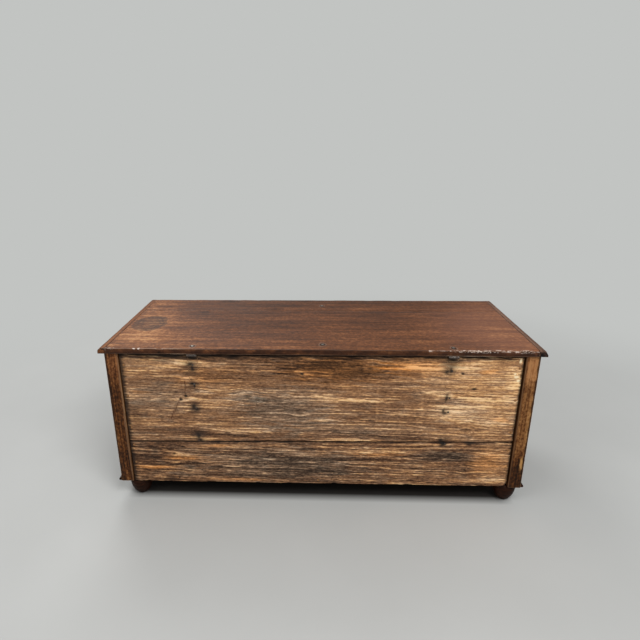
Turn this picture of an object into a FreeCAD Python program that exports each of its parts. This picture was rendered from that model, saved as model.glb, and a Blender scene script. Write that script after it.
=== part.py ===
import FreeCAD, Part
import math
import os

import Sketcher
from FreeCAD import Placement, Rotation, Vector

# A joined oak chest with a carved front, a pine back, turned feet and a boarded, hinged lid.
# The origin is on the floor under the middle of the chest. +Z is up, the carved front faces -Y
# and the back with its two hinges faces +Y. Left is -X, as seen by someone facing the front.

# Sizes in millimetres
SIZES = {
    # The case as a whole, and its corner posts
    "case_width": 1600,
    "case_depth": 590,
    "case_height": 567,
    "foot_height": 80,
    "post_width": 90,
    "post_depth": 70,
    # The framed front and sides
    "rail_thickness": 32,
    "top_rail_height": 100,
    "bottom_rail_height": 110,
    "muntin_width": 90,
    "side_muntin_width": 80,
    "tenon_thickness": 10,
    "tenon_shoulder": 12,
    "post_tenon_length": 45,
    "side_tenon_length": 30,
    "muntin_tenon_length": 35,
    "joint_clearance": 0.2,
    "mortise_end_gap": 0.8,
    # Raised panels in grooves
    "panel_tongue": 8,
    "groove_depth": 10,
    "panel_gap": 0.8,
    "panel_margin": 4,
    "panel_bevel": 26,
    "panel_field_height": 8,
    # The boarded back
    "board_thickness": 24,
    "board_recess": 1.5,
    "post_back_face": 50,
    "left_board_gap": 7,
    "right_board_gap": 4,
    "lower_board_height": 203,
    "board_seam": 2,
    "rear_rail_thickness": 30,
    "stub_tenon_length": 10,
    # The floor
    "floor_lift": 40,
    "floor_thickness": 18,
    "floor_board_gap": 1,
    "floor_notch_gap": 0.5,
    "ledger_size": 22,
    # The moulding round the foot of the case
    "moulding_lift": 4,
    "moulding_height": 18,
    "moulding_projection": 10,
    "moulding_nose_height": 9,
    "moulding_nose_radius": 4.8,
    # The turned feet
    "foot_radius": 44,
    "foot_sole_radius": 20,
    "foot_belly_height": 60,
    "foot_belly_arc": 87,
    "foot_top_radius": 36,
    "foot_shoulder_arc": 29,
    "spigot_radius": 12,
    "spigot_length": 40,
    "left_foot_inset": 46,
    "right_foot_inset": 64,
    "foot_depth_inset": 50,
    # The lid
    "lid_thickness": 22,
    "lid_end_overhang": 18,
    "lid_back_overhang": 12,
    "lid_front_overhang": 26,
    "lid_front_board_width": 176,
    "lid_cleat_width": 28,
    "lid_tongue_thickness": 7,
    "lid_tongue_length": 10,
    "lid_tongue_stop": 30,
    "thumb_step": 2,
    "thumb_radius": 12,
    "batten_width": 70,
    "batten_thickness": 22,
    "batten_back_gap": 7,
    "batten_front_gap": 24,
    "batten_offset": 14,
    "batten_front_rivet_inset": 18,
    "batten_back_rivet_inset": 6,
    # The strap hinges
    "left_hinge_place": 488,
    "right_hinge_place": 469,
    "strap_width": 34,
    "strap_thickness": 3,
    "strap_end_radius": 22,
    "upper_strap_length": 240,
    "lower_strap_lap": 8,
    "knuckle_radius": 6.2,
    "knuckle_relief": 0.4,
    "knuckle_side_gap": 0.4,
    "knuckle_swing_gap": 1.5,
    "barrel_offset": 5.5,
    "hinge_pin_radius": 3,
    "hinge_pin_overhang": 1.5,
    "hinge_pin_clearance": 0.05,
    "notch_clearance": 1.5,
    # Pegs and nails
    "peg_radius": 4.5,
    "peg_length": 28,
    "peg_stand": 1,
    "peg_clearance": 0.05,
    "nail_radius": 2.4,
    "nail_clearance": 0.05,
    "nail_head_radius": 6,
    "nail_head_thickness": 2,
    "clench_radius": 5,
    "clench_thickness": 1.2,
    "back_clench_radius": 3.5,
    "back_nail_length": 50,
    "back_nail_head_radius": 4.5,
    "back_nail_head_thickness": 1.2,
    "short_nail_length": 14,
    # The lock
    "lock_width": 120,
    "lock_height": 84,
    "lock_depth": 22,
    "lock_wall": 2,
    "lock_drop": 2,
    "bolt_length": 44,
    "bolt_depth": 8,
    "bolt_height": 12,
    "bolt_drop": 9,
    "bolt_tip_gap": 3,
    "bolt_clearance": 0.2,
    "bolt_notch_width": 6,
    "bolt_notch_depth": 4,
    "guide_thickness": 3,
    "guide_rim": 4,
    "guide_pitch": 16,
    "staple_plate_length": 60,
    "staple_plate_width": 40,
    "staple_plate_thickness": 3,
    "staple_width": 6,
    "staple_leg": 3.8,
    "staple_eye_gap": 0.7,
    "staple_slot_gap": 1.5,
    "staple_length": 30,
    "staple_foot": 5,
    "escutcheon_width": 52,
    "escutcheon_height": 78,
    "escutcheon_thickness": 2,
    "escutcheon_corner_arc": 60,
    "keyhole_rise": 32,
    "keyhole_radius": 5.5,
    "keyhole_slot_width": 6,
    "keyhole_drop": 16,
    "lock_nail_radius": 1.8,
    "lock_nail_head_radius": 4,
    "lock_nail_head_thickness": 1.2,
    "lock_nail_inset": 8,
    "escutcheon_nail_length": 12,
    # How far a cutting shape runs past the face that it opens
    "overrun": 5,
}

# Counts, and shares of the piece that carries what they place
FRONT_PANELS = ("left", "centre", "right")
FLOOR_BOARDS = 6
TENON_PEG_SHARES = (0.25, 0.75)
LOWER_STRAP_NAIL_SHARES = {"left": (0.145, 0.45, 0.615, 1.0), "right": (0.1, 0.32, 0.6, 1.0)}
UPPER_STRAP_NAIL_SHARES = (0.4, 0.7, 1.0)
UPPER_BOARD_NAIL_SHARES = (0.12, 0.5, 0.86)
LOWER_BOARD_NAIL_SHARES = (0.45, 0.84)
REAR_RAIL_NAIL_SHARES = (-0.8, -0.4, 0, 0.4, 0.8)
FLOOR_NAIL_SHARES = (0.2, 0.8)
LOCK_NAIL_SHARES = (-1, 1)

SIDES = ("left", "right")
TURN = {"left": -90, "right": 90}
AXIS_ROTATION = {
    "x": Rotation(Vector(0, 1, 0), 90),
    "y": Rotation(Vector(-1, 0, 0), 90),
    "z": Rotation(),
}
DIRECTION = {
    "+x": Vector(1, 0, 0),
    "-x": Vector(-1, 0, 0),
    "+y": Vector(0, 1, 0),
    "-y": Vector(0, -1, 0),
    "+z": Vector(0, 0, 1),
    "-z": Vector(0, 0, -1),
}

doc = FreeCAD.newDocument("carved_chest")
sheet = doc.addObject("Spreadsheet::Sheet", "sizes")
for row, (alias, value) in enumerate(SIZES.items(), start=1):
    sheet.set(f"A{row}", alias)
    sheet.set(f"B{row}", str(value))
    sheet.setAlias(f"B{row}", alias)
doc.recompute()

pieces = []


# Helpers for expressions: a pair is the low and the high end of a span
def number(expression):
    """The value of a size expression."""
    return float(sheet.evalExpression(str(expression)))


def grown(pair, amount):
    low, high = pair
    return f"({low}) - {amount}", f"({high}) + {amount}"


def shrunk(pair, amount):
    low, high = pair
    return f"({low}) + {amount}", f"({high}) - {amount}"


def middle(pair):
    low, high = pair
    return f"(({low}) + ({high})) / 2"


def centred(centre, width):
    return f"({centre}) - ({width}) / 2", f"({centre}) + ({width}) / 2"


def on_side(side, low, high):
    """The same span on the right of the chest, or mirrored to its left."""
    return (low, high) if side == "right" else (f"-({high})", f"-({low})")


def at_side(side, place):
    return place if side == "right" else f"-({place})"


def part_way(pair, share):
    low, high = pair
    return f"({low}) + (({high}) - ({low})) * {share}"


# Helpers for shapes
def block(name, x, y, z):
    """A rectangular block from its span on each axis."""
    box = doc.addObject("Part::Box", name)
    for size, letter, (low, high) in zip(("Length", "Width", "Height"), "xyz", (x, y, z)):
        box.setExpression(size, f"({high}) - ({low})")
        box.setExpression(f"Placement.Base.{letter}", low)
    return box


def rod(name, radius, axis, start, length):
    """A round rod that runs along an axis from its start point."""
    cylinder = doc.addObject("Part::Cylinder", name)
    cylinder.Placement = Placement(Vector(), AXIS_ROTATION[axis])
    cylinder.setExpression("Radius", radius)
    cylinder.setExpression("Height", length)
    for letter, place in zip("xyz", start):
        cylinder.setExpression(f"Placement.Base.{letter}", place)
    return cylinder


def joined(name, shapes):
    fuse = doc.addObject("Part::MultiFuse", name)
    fuse.Shapes = shapes
    fuse.Refine = True
    return fuse


def cut(name, base, tools):
    """The base with every tool taken out of it."""
    result = doc.addObject("Part::Cut", name)
    result.Base = base
    result.Tool = tools[0] if len(tools) == 1 else joined(f"{name}_cuts", tools)
    result.Refine = True
    return result


def common(name, base, tool):
    result = doc.addObject("Part::Common", name)
    result.Base = base
    result.Tool = tool
    result.Refine = True
    return result


def keep(name, thing):
    """Name a finished piece of the chest."""
    thing.Label = name
    pieces.append(thing)
    return thing


def outline(body, role, points, arcs, offset="0"):
    """A closed sketch through points given as expressions, with arcs from some of them.

    arcs holds, for the point that an arc starts from, its radius and +1 where it bulges to the
    left of its direction or -1 where it bulges to the right. A sketch's arcs always run
    anticlockwise, so one that bulges to the left is drawn from its far end.
    """
    plane = next(item for item in body.Origin.OriginFeatures if item.Role == role)
    sketch = body.newObject("Sketcher::SketchObject", f"{body.Name}_outline")
    sketch.AttachmentSupport = [(plane, "")]
    sketch.MapMode = "FlatFace"
    sketch.setExpression("AttachmentOffset.Base.z", offset)
    spots = [Vector(number(across), number(up), 0) for across, up in points]
    ends = []
    for index, spot in enumerate(spots):
        following = spots[(index + 1) % len(spots)]
        if index in arcs:
            radius, bulge = number(arcs[index][0]), arcs[index][1]
            chord = following - spot
            normal = Vector(-chord.y, chord.x, 0).normalize() * bulge
            centre_drop = math.sqrt(max(radius ** 2 - (chord.Length / 2) ** 2, 0))
            crown = spot + chord / 2 + normal * (radius - centre_drop)
            turned_back = bulge > 0
            start, end = (following, spot) if turned_back else (spot, following)
            sketch.addGeometry(Part.Arc(start, crown, end))
            ends.append((2, 1) if turned_back else (1, 2))
        else:
            sketch.addGeometry(Part.LineSegment(spot, following))
            ends.append((1, 2))
    for index, (across, up) in enumerate(points):
        before = index - 1 if index else len(points) - 1
        start = ends[index][0]
        sketch.addConstraint(Sketcher.Constraint("Coincident", before, ends[before][1], index, start))
        for kind, value, expression in (("X", spots[index].x, across), ("Y", spots[index].y, up)):
            constraint = Sketcher.Constraint(f"Distance{kind}", -1, 1, index, start, value)
            number_of = sketch.addConstraint(constraint)
            sketch.setExpression(f"Constraints[{number_of}]", expression)
    for index, (radius, _) in arcs.items():
        number_of = sketch.addConstraint(Sketcher.Constraint("Radius", index, number(radius)))
        sketch.setExpression(f"Constraints[{number_of}]", radius)
    return sketch


def padded(name, role, points, arcs, low, high, normal_sign=1):
    """A profile padded between two places on the normal of its plane."""
    body = doc.addObject("PartDesign::Body", name)
    start = low if normal_sign > 0 else f"-({high})"
    sketch = outline(body, role, points, arcs, start)
    pad = body.newObject("PartDesign::Pad", f"{name}_pad")
    pad.Profile = sketch
    pad.setExpression("Length", f"({high}) - ({low})")
    return body


def rods(name, radius, places, direction, length):
    """Many round bores of one size, as one cutting shape."""
    group = doc.addObject("Part::Feature", name)
    spots = [Vector(*[number(value) for value in place]) for place in places]
    size = number(radius), number(length)
    group.Shape = Part.makeCompound(
        [Part.makeCylinder(*size, spot, DIRECTION[direction]) for spot in spots]
    )
    group.Placement = Placement()
    return group


def turned(steps, spot, direction):
    """One nail or peg: round steps (radius, start, end) along its own axis."""
    along = DIRECTION[direction]
    solids = []
    for radius, start, end in steps:
        base = spot + along * number(start)
        length = number(end) - number(start)
        solids.append(Part.makeCylinder(number(radius), length, base, along))
    whole = solids[0]
    for solid in solids[1:]:
        whole = whole.fuse(solid)
    return whole.removeSplitter().Solids[0]


def fasteners(name, groups):
    """A node of many like fasteners: each group gives places, a direction and the steps."""
    solids = []
    for places, direction, steps in groups:
        for place in places:
            spot = Vector(*[number(value) for value in place])
            solids.append(turned(steps, spot, direction))
    group = doc.addObject("Part::Feature", name)
    group.Shape = Part.makeCompound(solids)
    group.Placement = Placement()
    return keep(name, group)


# Main planes of the chest
half_width = "(sizes.case_width / 2)"
case_floor = "sizes.foot_height"
case_top = "(sizes.foot_height + sizes.case_height)"
lid_top = f"({case_top} + sizes.lid_thickness)"
lid_depth = "(sizes.lid_front_overhang + sizes.case_depth + sizes.lid_back_overhang)"
lid_back = f"({lid_depth} / 2)"
lid_front = f"(-{lid_depth} / 2)"
lid_end = f"({half_width} + sizes.lid_end_overhang)"
back_face = f"({lid_back} - sizes.lid_back_overhang)"
front_face = f"({lid_front} + sizes.lid_front_overhang)"
post_inner = f"({half_width} - sizes.post_width)"
front_post_inner = f"({front_face} + sizes.post_depth)"
rear_post_inner = f"({back_face} - sizes.post_depth)"
front_inner = f"({front_face} + sizes.rail_thickness)"
side_inner = f"({half_width} - sizes.rail_thickness)"
board_face = f"({back_face} - sizes.board_recess)"
board_inner = f"({board_face} - sizes.board_thickness)"
rear_rail_inner = f"({board_inner} - sizes.rear_rail_thickness)"
floor_under = f"({case_floor} + sizes.floor_lift)"
floor_top = f"({floor_under} + sizes.floor_thickness)"

post_z = (case_floor, case_top)
top_rail_z = (f"{case_top} - sizes.top_rail_height", case_top)
bottom_rail_z = (case_floor, f"{case_floor} + sizes.bottom_rail_height")
opening_z = (bottom_rail_z[1], top_rail_z[0])
front_rail_y = (front_face, front_inner)
side_opening_y = (front_post_inner, rear_post_inner)
rail_heights = {"top": top_rail_z, "bottom": bottom_rail_z}

# Tenons: each rail has one bar that makes both its tenons, and a socket a little larger
def tenon_bar(name, x, y, z, along):
    gaps = ["sizes.mortise_end_gap" if letter == along else "sizes.joint_clearance" for letter in "xyz"]
    spans = [grown(pair, gap) for pair, gap in zip((x, y, z), gaps)]
    return block(f"{name}_tenons", x, y, z), block(f"{name}_mortises", *spans)


def raised_field(name, centre, half_across, half_up, turn):
    """The raised middle of a panel, with bevels down to its tongue on all four edges."""
    wedge = doc.addObject("Part::Wedge", name)
    wedge.Placement = Placement(Vector(), Rotation(Vector(0, 0, 1), turn))
    wedge.setExpression("Ymin", "-sizes.panel_field_height")
    wedge.setExpression("Ymax", "0")
    for letter, half in (("X", half_across), ("Z", half_up)):
        wedge.setExpression(f"{letter}2min", f"-({half} - sizes.panel_margin)")
        wedge.setExpression(f"{letter}2max", f"{half} - sizes.panel_margin")
        wedge.setExpression(f"{letter}min", f"-({half} - sizes.panel_margin - sizes.panel_bevel)")
        wedge.setExpression(f"{letter}max", f"{half} - sizes.panel_margin - sizes.panel_bevel")
    for letter, place in zip("xyz", centre):
        wedge.setExpression(f"Placement.Base.{letter}", place)
    return wedge


groove_reach = "(sizes.groove_depth - sizes.panel_gap)"

# Front panels, and the grooves that hold them
panel_count = len(FRONT_PANELS)
front_panel_width = f"((2 * {post_inner} - {panel_count - 1} * sizes.muntin_width) / {panel_count})"
front_tongue_y = centred(middle(front_rail_y), "sizes.panel_tongue")
front_grooves = {}
front_openings = {}
for index, place in enumerate(FRONT_PANELS):
    low = f"(-{post_inner} + {index} * ({front_panel_width} + sizes.muntin_width))"
    span = (low, f"({low} + {front_panel_width})")
    front_openings[place] = span
    name = f"front_{place}_panel"
    plate = block(f"{name}_plate", grown(span, groove_reach), front_tongue_y, grown(opening_z, groove_reach))
    half_height = f"(({opening_z[1]}) - ({opening_z[0]})) / 2"
    centre = (middle(span), front_tongue_y[0], middle(opening_z))
    field = raised_field(f"{name}_field", centre, f"{front_panel_width} / 2", half_height, 0)
    keep(name, joined(name, [plate, field]))
    front_grooves[place] = block(
        f"{name}_groove",
        grown(span, "sizes.groove_depth"),
        grown(front_tongue_y, "sizes.joint_clearance"),
        grown(opening_z, "sizes.groove_depth"),
    )

# Side panels
side_frame_x = {side: on_side(side, side_inner, half_width) for side in SIDES}
side_tongue_x = {side: centred(middle(side_frame_x[side]), "sizes.panel_tongue") for side in SIDES}
side_muntin_y = centred(middle(side_opening_y), "sizes.side_muntin_width")
side_openings = {
    "front": (side_opening_y[0], side_muntin_y[0]),
    "rear": (side_muntin_y[1], side_opening_y[1]),
}
side_grooves = {}
for side in SIDES:
    for place, span in side_openings.items():
        name = f"{side}_{place}_panel"
        tongue_x = side_tongue_x[side]
        plate = block(f"{name}_plate", tongue_x, grown(span, groove_reach), grown(opening_z, groove_reach))
        half_across = f"(({span[1]}) - ({span[0]})) / 2"
        half_height = f"(({opening_z[1]}) - ({opening_z[0]})) / 2"
        outer_face = tongue_x[1] if side == "right" else tongue_x[0]
        centre = (outer_face, middle(span), middle(opening_z))
        field = raised_field(f"{name}_field", centre, half_across, half_height, TURN[side])
        keep(name, joined(name, [plate, field]))
        side_grooves[side, place] = block(
            f"{name}_groove",
            grown(tongue_x, "sizes.joint_clearance"),
            grown(span, "sizes.groove_depth"),
            grown(opening_z, "sizes.groove_depth"),
        )

# Tenons and mortises of the front frame
front_tenon_y = centred(middle(front_rail_y), "sizes.tenon_thickness")
front_tenon_reach = f"({post_inner} + sizes.post_tenon_length)"
front_tenons = {}
for place, height in rail_heights.items():
    front_tenons[place] = tenon_bar(
        f"front_{place}_rail",
        (f"-{front_tenon_reach}", front_tenon_reach),
        front_tenon_y,
        shrunk(height, "sizes.tenon_shoulder"),
        "x",
    )
muntin_tenon_z = grown(opening_z, "sizes.muntin_tenon_length")
front_muntin_x = {
    "left": (front_openings["left"][1], front_openings["centre"][0]),
    "right": (front_openings["centre"][1], front_openings["right"][0]),
}
front_muntin_tenons = {}
for side in SIDES:
    front_muntin_tenons[side] = tenon_bar(
        f"front_{side}_muntin",
        shrunk(front_muntin_x[side], "sizes.tenon_shoulder"),
        front_tenon_y,
        muntin_tenon_z,
        "z",
    )

# Tenons and mortises of the side frames
side_tenons = {}
side_muntin_tenons = {}
for side in SIDES:
    tenon_x = centred(middle(side_frame_x[side]), "sizes.tenon_thickness")
    for place, height in rail_heights.items():
        side_tenons[side, place] = tenon_bar(
            f"{side}_{place}_rail",
            tenon_x,
            grown(side_opening_y, "sizes.side_tenon_length"),
            shrunk(height, "sizes.tenon_shoulder"),
            "y",
        )
    side_muntin_tenons[side] = tenon_bar(
        f"{side}_muntin",
        tenon_x,
        shrunk(side_muntin_y, "sizes.tenon_shoulder"),
        muntin_tenon_z,
        "z",
    )

# The rear rail that carries the floor, with a stub tenon at each end
rear_rail_y = (rear_rail_inner, board_inner)
rear_rail_z = (case_floor, floor_under)
rear_tenon_reach = f"({post_inner} + sizes.stub_tenon_length)"
rear_tenons = tenon_bar(
    "rear_bottom_rail",
    (f"-{rear_tenon_reach}", rear_tenon_reach),
    centred(middle(rear_rail_y), "sizes.tenon_thickness"),
    shrunk(rear_rail_z, "sizes.tenon_shoulder"),
    "x",
)

# Pegs through the tenons, one bore shape for each face of the case
post_peg_x = f"({post_inner} + sizes.post_tenon_length / 2)"
front_peg_places = []
for place, height in rail_heights.items():
    for share in TENON_PEG_SHARES:
        for side in SIDES:
            front_peg_places.append((at_side(side, post_peg_x), front_face, part_way(height, share)))
muntin_peg_z = (
    f"({opening_z[0]}) - sizes.muntin_tenon_length / 2",
    f"({opening_z[1]}) + sizes.muntin_tenon_length / 2",
)
for side in SIDES:
    for share in TENON_PEG_SHARES:
        for height in muntin_peg_z:
            front_peg_places.append((part_way(front_muntin_x[side], share), front_face, height))
side_peg_places = {}
for side in SIDES:
    face = at_side(side, half_width)
    places = []
    for place, height in rail_heights.items():
        for share in TENON_PEG_SHARES:
            for inner, sign in ((front_post_inner, "-"), (rear_post_inner, "+")):
                across = f"{inner} {sign} sizes.side_tenon_length / 2"
                places.append((face, across, part_way(height, share)))
    for share in TENON_PEG_SHARES:
        for height in muntin_peg_z:
            places.append((face, part_way(side_muntin_y, share), height))
    side_peg_places[side] = places
peg_bore = "sizes.peg_radius + sizes.peg_clearance"
peg_bore_length = "sizes.peg_length"
front_peg_bores = rods("front_peg_bores", peg_bore, front_peg_places, "+y", peg_bore_length)
inward = {"left": "+x", "right": "-x"}
side_peg_bores = {
    side: rods(f"{side}_peg_bores", peg_bore, side_peg_places[side], inward[side], peg_bore_length)
    for side in SIDES
}
peg_steps = [("sizes.peg_radius", "-sizes.peg_stand", "sizes.peg_length")]
fasteners(
    "frame_pegs",
    [
        (front_peg_places, "+y", peg_steps),
        (side_peg_places["left"], "+x", peg_steps),
        (side_peg_places["right"], "-x", peg_steps),
    ],
)

# The lock's places in the front top rail
lock_y = (front_inner, f"{front_inner} + sizes.lock_depth")
lock_z = (f"{case_top} - sizes.lock_drop - sizes.lock_height", f"{case_top} - sizes.lock_drop")
lock_cavity_y = (lock_y[0], f"{lock_y[1]} - sizes.lock_wall")
keyhole_z = f"({lock_z[0]} + sizes.keyhole_rise)"
keyhole_start = f"{front_face} - sizes.escutcheon_thickness - sizes.overrun"
keyhole_length = "sizes.rail_thickness + sizes.escutcheon_thickness + 2 * sizes.overrun"
keyhole_centre = ("0", keyhole_start, keyhole_z)
keyhole_round = rod("keyhole_round", "sizes.keyhole_radius", "y", keyhole_centre, keyhole_length)
keyhole_slot = block(
    "keyhole_slot",
    centred("0", "sizes.keyhole_slot_width"),
    (keyhole_start, f"{keyhole_start} + {keyhole_length}"),
    (f"{keyhole_z} - sizes.keyhole_drop", keyhole_z),
)
keyhole = joined("keyhole", [keyhole_round, keyhole_slot])

# Nails that hold the lock plate and the escutcheon
lock_nail_bore = "sizes.lock_nail_radius + sizes.nail_clearance"
lock_nail_x = "(sizes.lock_width / 2 - sizes.lock_nail_inset)"
lock_nail_reach = f"(({lock_z[1]}) - ({lock_z[0]})) / 2 - sizes.lock_nail_inset"
lock_back = lock_y[1]
lock_nail_places = [
    (f"{across} * {lock_nail_x}", lock_back, f"{middle(lock_z)} + {up} * ({lock_nail_reach})")
    for across in LOCK_NAIL_SHARES
    for up in LOCK_NAIL_SHARES
]
lock_nail_length = "sizes.lock_depth + sizes.short_nail_length"
lock_nail_bores = rods("lock_nail_bores", lock_nail_bore, lock_nail_places, "-y", lock_nail_length)
escutcheon_front = f"({front_face} - sizes.escutcheon_thickness)"
escutcheon_z = centred(keyhole_z, "sizes.escutcheon_height")
escutcheon_nail_x = "(sizes.escutcheon_width / 2 - sizes.lock_nail_inset)"
escutcheon_nail_places = [
    (at_side(side, escutcheon_nail_x), escutcheon_front, f"{escutcheon_z[1]} - sizes.lock_nail_inset")
    for side in SIDES
]
escutcheon_nail_places.append(("0", escutcheon_front, f"{escutcheon_z[0]} + sizes.lock_nail_inset"))
escutcheon_nail_bores = rods(
    "escutcheon_nail_bores", lock_nail_bore, escutcheon_nail_places, "+y", "sizes.escutcheon_nail_length"
)
lock_nail_head = ("sizes.lock_nail_head_radius", "-sizes.lock_nail_head_thickness", "0")
fasteners(
    "lock_nails",
    [
        (lock_nail_places, "-y", [lock_nail_head, ("sizes.lock_nail_radius", "0", lock_nail_length)]),
        (
            escutcheon_nail_places,
            "+y",
            [lock_nail_head, ("sizes.lock_nail_radius", "0", "sizes.escutcheon_nail_length")],
        ),
    ],
)

# Front rails and muntins
all_front_grooves = list(front_grooves.values())
muntin_mortises = [front_muntin_tenons[side][1] for side in SIDES]
rail_extra_cuts = {"top": [keyhole, lock_nail_bores, escutcheon_nail_bores], "bottom": []}
for place, height in rail_heights.items():
    name = f"front_{place}_rail"
    body = block(f"{name}_body", (f"-{post_inner}", post_inner), front_rail_y, height)
    blank = joined(f"{name}_blank", [body, front_tenons[place][0]])
    tools = all_front_grooves + muntin_mortises + [front_peg_bores] + rail_extra_cuts[place]
    keep(name, cut(name, blank, tools))
for side in SIDES:
    name = f"front_{side}_muntin"
    body = block(f"{name}_body", front_muntin_x[side], front_rail_y, opening_z)
    blank = joined(f"{name}_blank", [body, front_muntin_tenons[side][0]])
    keep(name, cut(name, blank, [front_grooves["centre"], front_grooves[side], front_peg_bores]))

# Side rails and muntins
for side in SIDES:
    grooves = [side_grooves[side, "front"], side_grooves[side, "rear"]]
    for place, height in rail_heights.items():
        name = f"{side}_{place}_rail"
        body = block(f"{name}_body", side_frame_x[side], side_opening_y, height)
        blank = joined(f"{name}_blank", [body, side_tenons[side, place][0]])
        tools = grooves + [side_muntin_tenons[side][1], side_peg_bores[side]]
        keep(name, cut(name, blank, tools))
    name = f"{side}_muntin"
    body = block(f"{name}_body", side_frame_x[side], side_muntin_y, opening_z)
    blank = joined(f"{name}_blank", [body, side_muntin_tenons[side][0]])
    keep(name, cut(name, blank, grooves + [side_peg_bores[side]]))

# Turned feet, and the sockets of their spigots
foot_x = {side: at_side(side, f"({half_width} - sizes.{side}_foot_inset)") for side in SIDES}
foot_y = {
    "front": f"({front_face} + sizes.foot_depth_inset)",
    "rear": f"({back_face} - sizes.foot_depth_inset)",
}
foot_sockets = {}
for end, across in foot_y.items():
    for side in SIDES:
        name = f"{end}_{side}_foot"
        body = doc.addObject("PartDesign::Body", name)
        spigot_top = "sizes.foot_height + sizes.spigot_length"
        points = [
            ("0", "0"),
            ("sizes.foot_sole_radius", "0"),
            ("sizes.foot_radius", "sizes.foot_belly_height"),
            ("sizes.foot_top_radius", "sizes.foot_height"),
            ("sizes.spigot_radius", "sizes.foot_height"),
            ("sizes.spigot_radius", spigot_top),
            ("0", spigot_top),
        ]
        arcs = {1: ("sizes.foot_belly_arc", -1), 2: ("sizes.foot_shoulder_arc", -1)}
        sketch = outline(body, "XZ_Plane", points, arcs)
        turning = body.newObject("PartDesign::Revolution", f"{name}_turning")
        turning.Profile = sketch
        turning.ReferenceAxis = (sketch, ["V_Axis"])
        body.setExpression("Placement.Base.x", foot_x[side])
        body.setExpression("Placement.Base.y", across)
        keep(name, body)
        foot_sockets[end, side] = rod(
            f"{name}_socket",
            "sizes.spigot_radius + sizes.joint_clearance",
            "z",
            (foot_x[side], across, f"{case_floor} - sizes.overrun"),
            "sizes.spigot_length + sizes.mortise_end_gap + sizes.overrun",
        )

# Nails of the back: through the boards into the posts and into the rear rail
lower_board_z = (case_floor, f"{case_floor} + sizes.lower_board_height")
upper_board_z = (f"{lower_board_z[1]} + sizes.board_seam", case_top)
post_nail_x = f"({half_width} - (sizes.post_back_face + sizes.post_width) / 2)"
back_nail_places = []
board_nail_rows = ((upper_board_z, UPPER_BOARD_NAIL_SHARES), (lower_board_z, LOWER_BOARD_NAIL_SHARES))
for side in SIDES:
    for pair, shares in board_nail_rows:
        for share in shares:
            back_nail_places.append((at_side(side, post_nail_x), board_face, part_way(pair, share)))
for share in REAR_RAIL_NAIL_SHARES:
    back_nail_places.append((f"{share} * {post_inner}", board_face, middle(rear_rail_z)))
nail_bore = "sizes.nail_radius + sizes.nail_clearance"
back_nail_bores = rods("back_nail_bores", nail_bore, back_nail_places, "-y", "sizes.back_nail_length")
back_nail_head = ("sizes.back_nail_head_radius", "-sizes.back_nail_head_thickness", "0")
fasteners(
    "back_nails",
    [(back_nail_places, "-y", [back_nail_head, ("sizes.nail_radius", "0", "sizes.back_nail_length")])],
)

# Corner posts
for side in SIDES:
    post_x = on_side(side, post_inner, half_width)
    side_mortises = [side_tenons[side, place][1] for place in rail_heights]

    name = f"front_{side}_post"
    blank = block(f"{name}_blank", post_x, (front_face, front_post_inner), post_z)
    tools = [front_tenons[place][1] for place in rail_heights] + side_mortises
    tools += [front_grooves[side], side_grooves[side, "front"], foot_sockets["front", side]]
    tools += [front_peg_bores, side_peg_bores[side]]
    keep(name, cut(name, blank, tools))

    name = f"rear_{side}_post"
    blank = block(f"{name}_blank", post_x, (rear_post_inner, back_face), post_z)
    ledge_x = on_side(side, f"{post_inner} - sizes.overrun", f"{half_width} - sizes.post_back_face")
    ledge_y = (board_inner, f"{back_face} + sizes.overrun")
    rebate = block(f"{name}_rebate", ledge_x, ledge_y, grown(post_z, "sizes.overrun"))
    tools = side_mortises + [rebate, side_grooves[side, "rear"], foot_sockets["rear", side]]
    tools += [rear_tenons[1], side_peg_bores[side], back_nail_bores]
    keep(name, cut(name, blank, tools))

# Hinge places
hinge_x = {side: at_side(side, f"sizes.{side}_hinge_place") for side in SIDES}
barrel_y = f"({back_face} + sizes.barrel_offset)"
barrel_z = f"({case_top} - sizes.knuckle_radius)"
case_knuckle_radius = "(sizes.knuckle_radius - sizes.knuckle_relief)"
leg_z = (f"{barrel_z} - {case_knuckle_radius}", f"{barrel_z} - {case_knuckle_radius} + sizes.strap_thickness")
strap_face = f"({board_inner} - sizes.strap_thickness)"
barrel_reach = "(sizes.knuckle_radius + sizes.knuckle_swing_gap)"
strap_shoulder_y = f"({barrel_y} - {barrel_reach})"
lower_strap_z = (f"{lower_board_z[1]} - sizes.lower_strap_lap", leg_z[1])
upper_strap_y = (f"{back_face} - sizes.upper_strap_length", strap_shoulder_y)

# Nails of the lower straps, clenched on the outside of the back
strap_nail_places = []
for side in SIDES:
    for share in LOWER_STRAP_NAIL_SHARES[side]:
        height = f"{leg_z[0]} - {share} * (({leg_z[0]}) - ({lower_strap_z[0]}))"
        strap_nail_places.append((hinge_x[side], strap_face, height))
strap_nail_length = "sizes.strap_thickness + sizes.board_thickness"
strap_nail_bores = rods("strap_nail_bores", nail_bore, strap_nail_places, "+y", strap_nail_length)
nail_head = ("sizes.nail_head_radius", "-sizes.nail_head_thickness", "0")
back_clench = (
    "sizes.back_clench_radius",
    strap_nail_length,
    f"{strap_nail_length} + sizes.clench_thickness",
)
fasteners(
    "strap_nails",
    [(strap_nail_places, "+y", [nail_head, ("sizes.nail_radius", "0", strap_nail_length), back_clench])],
)

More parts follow.
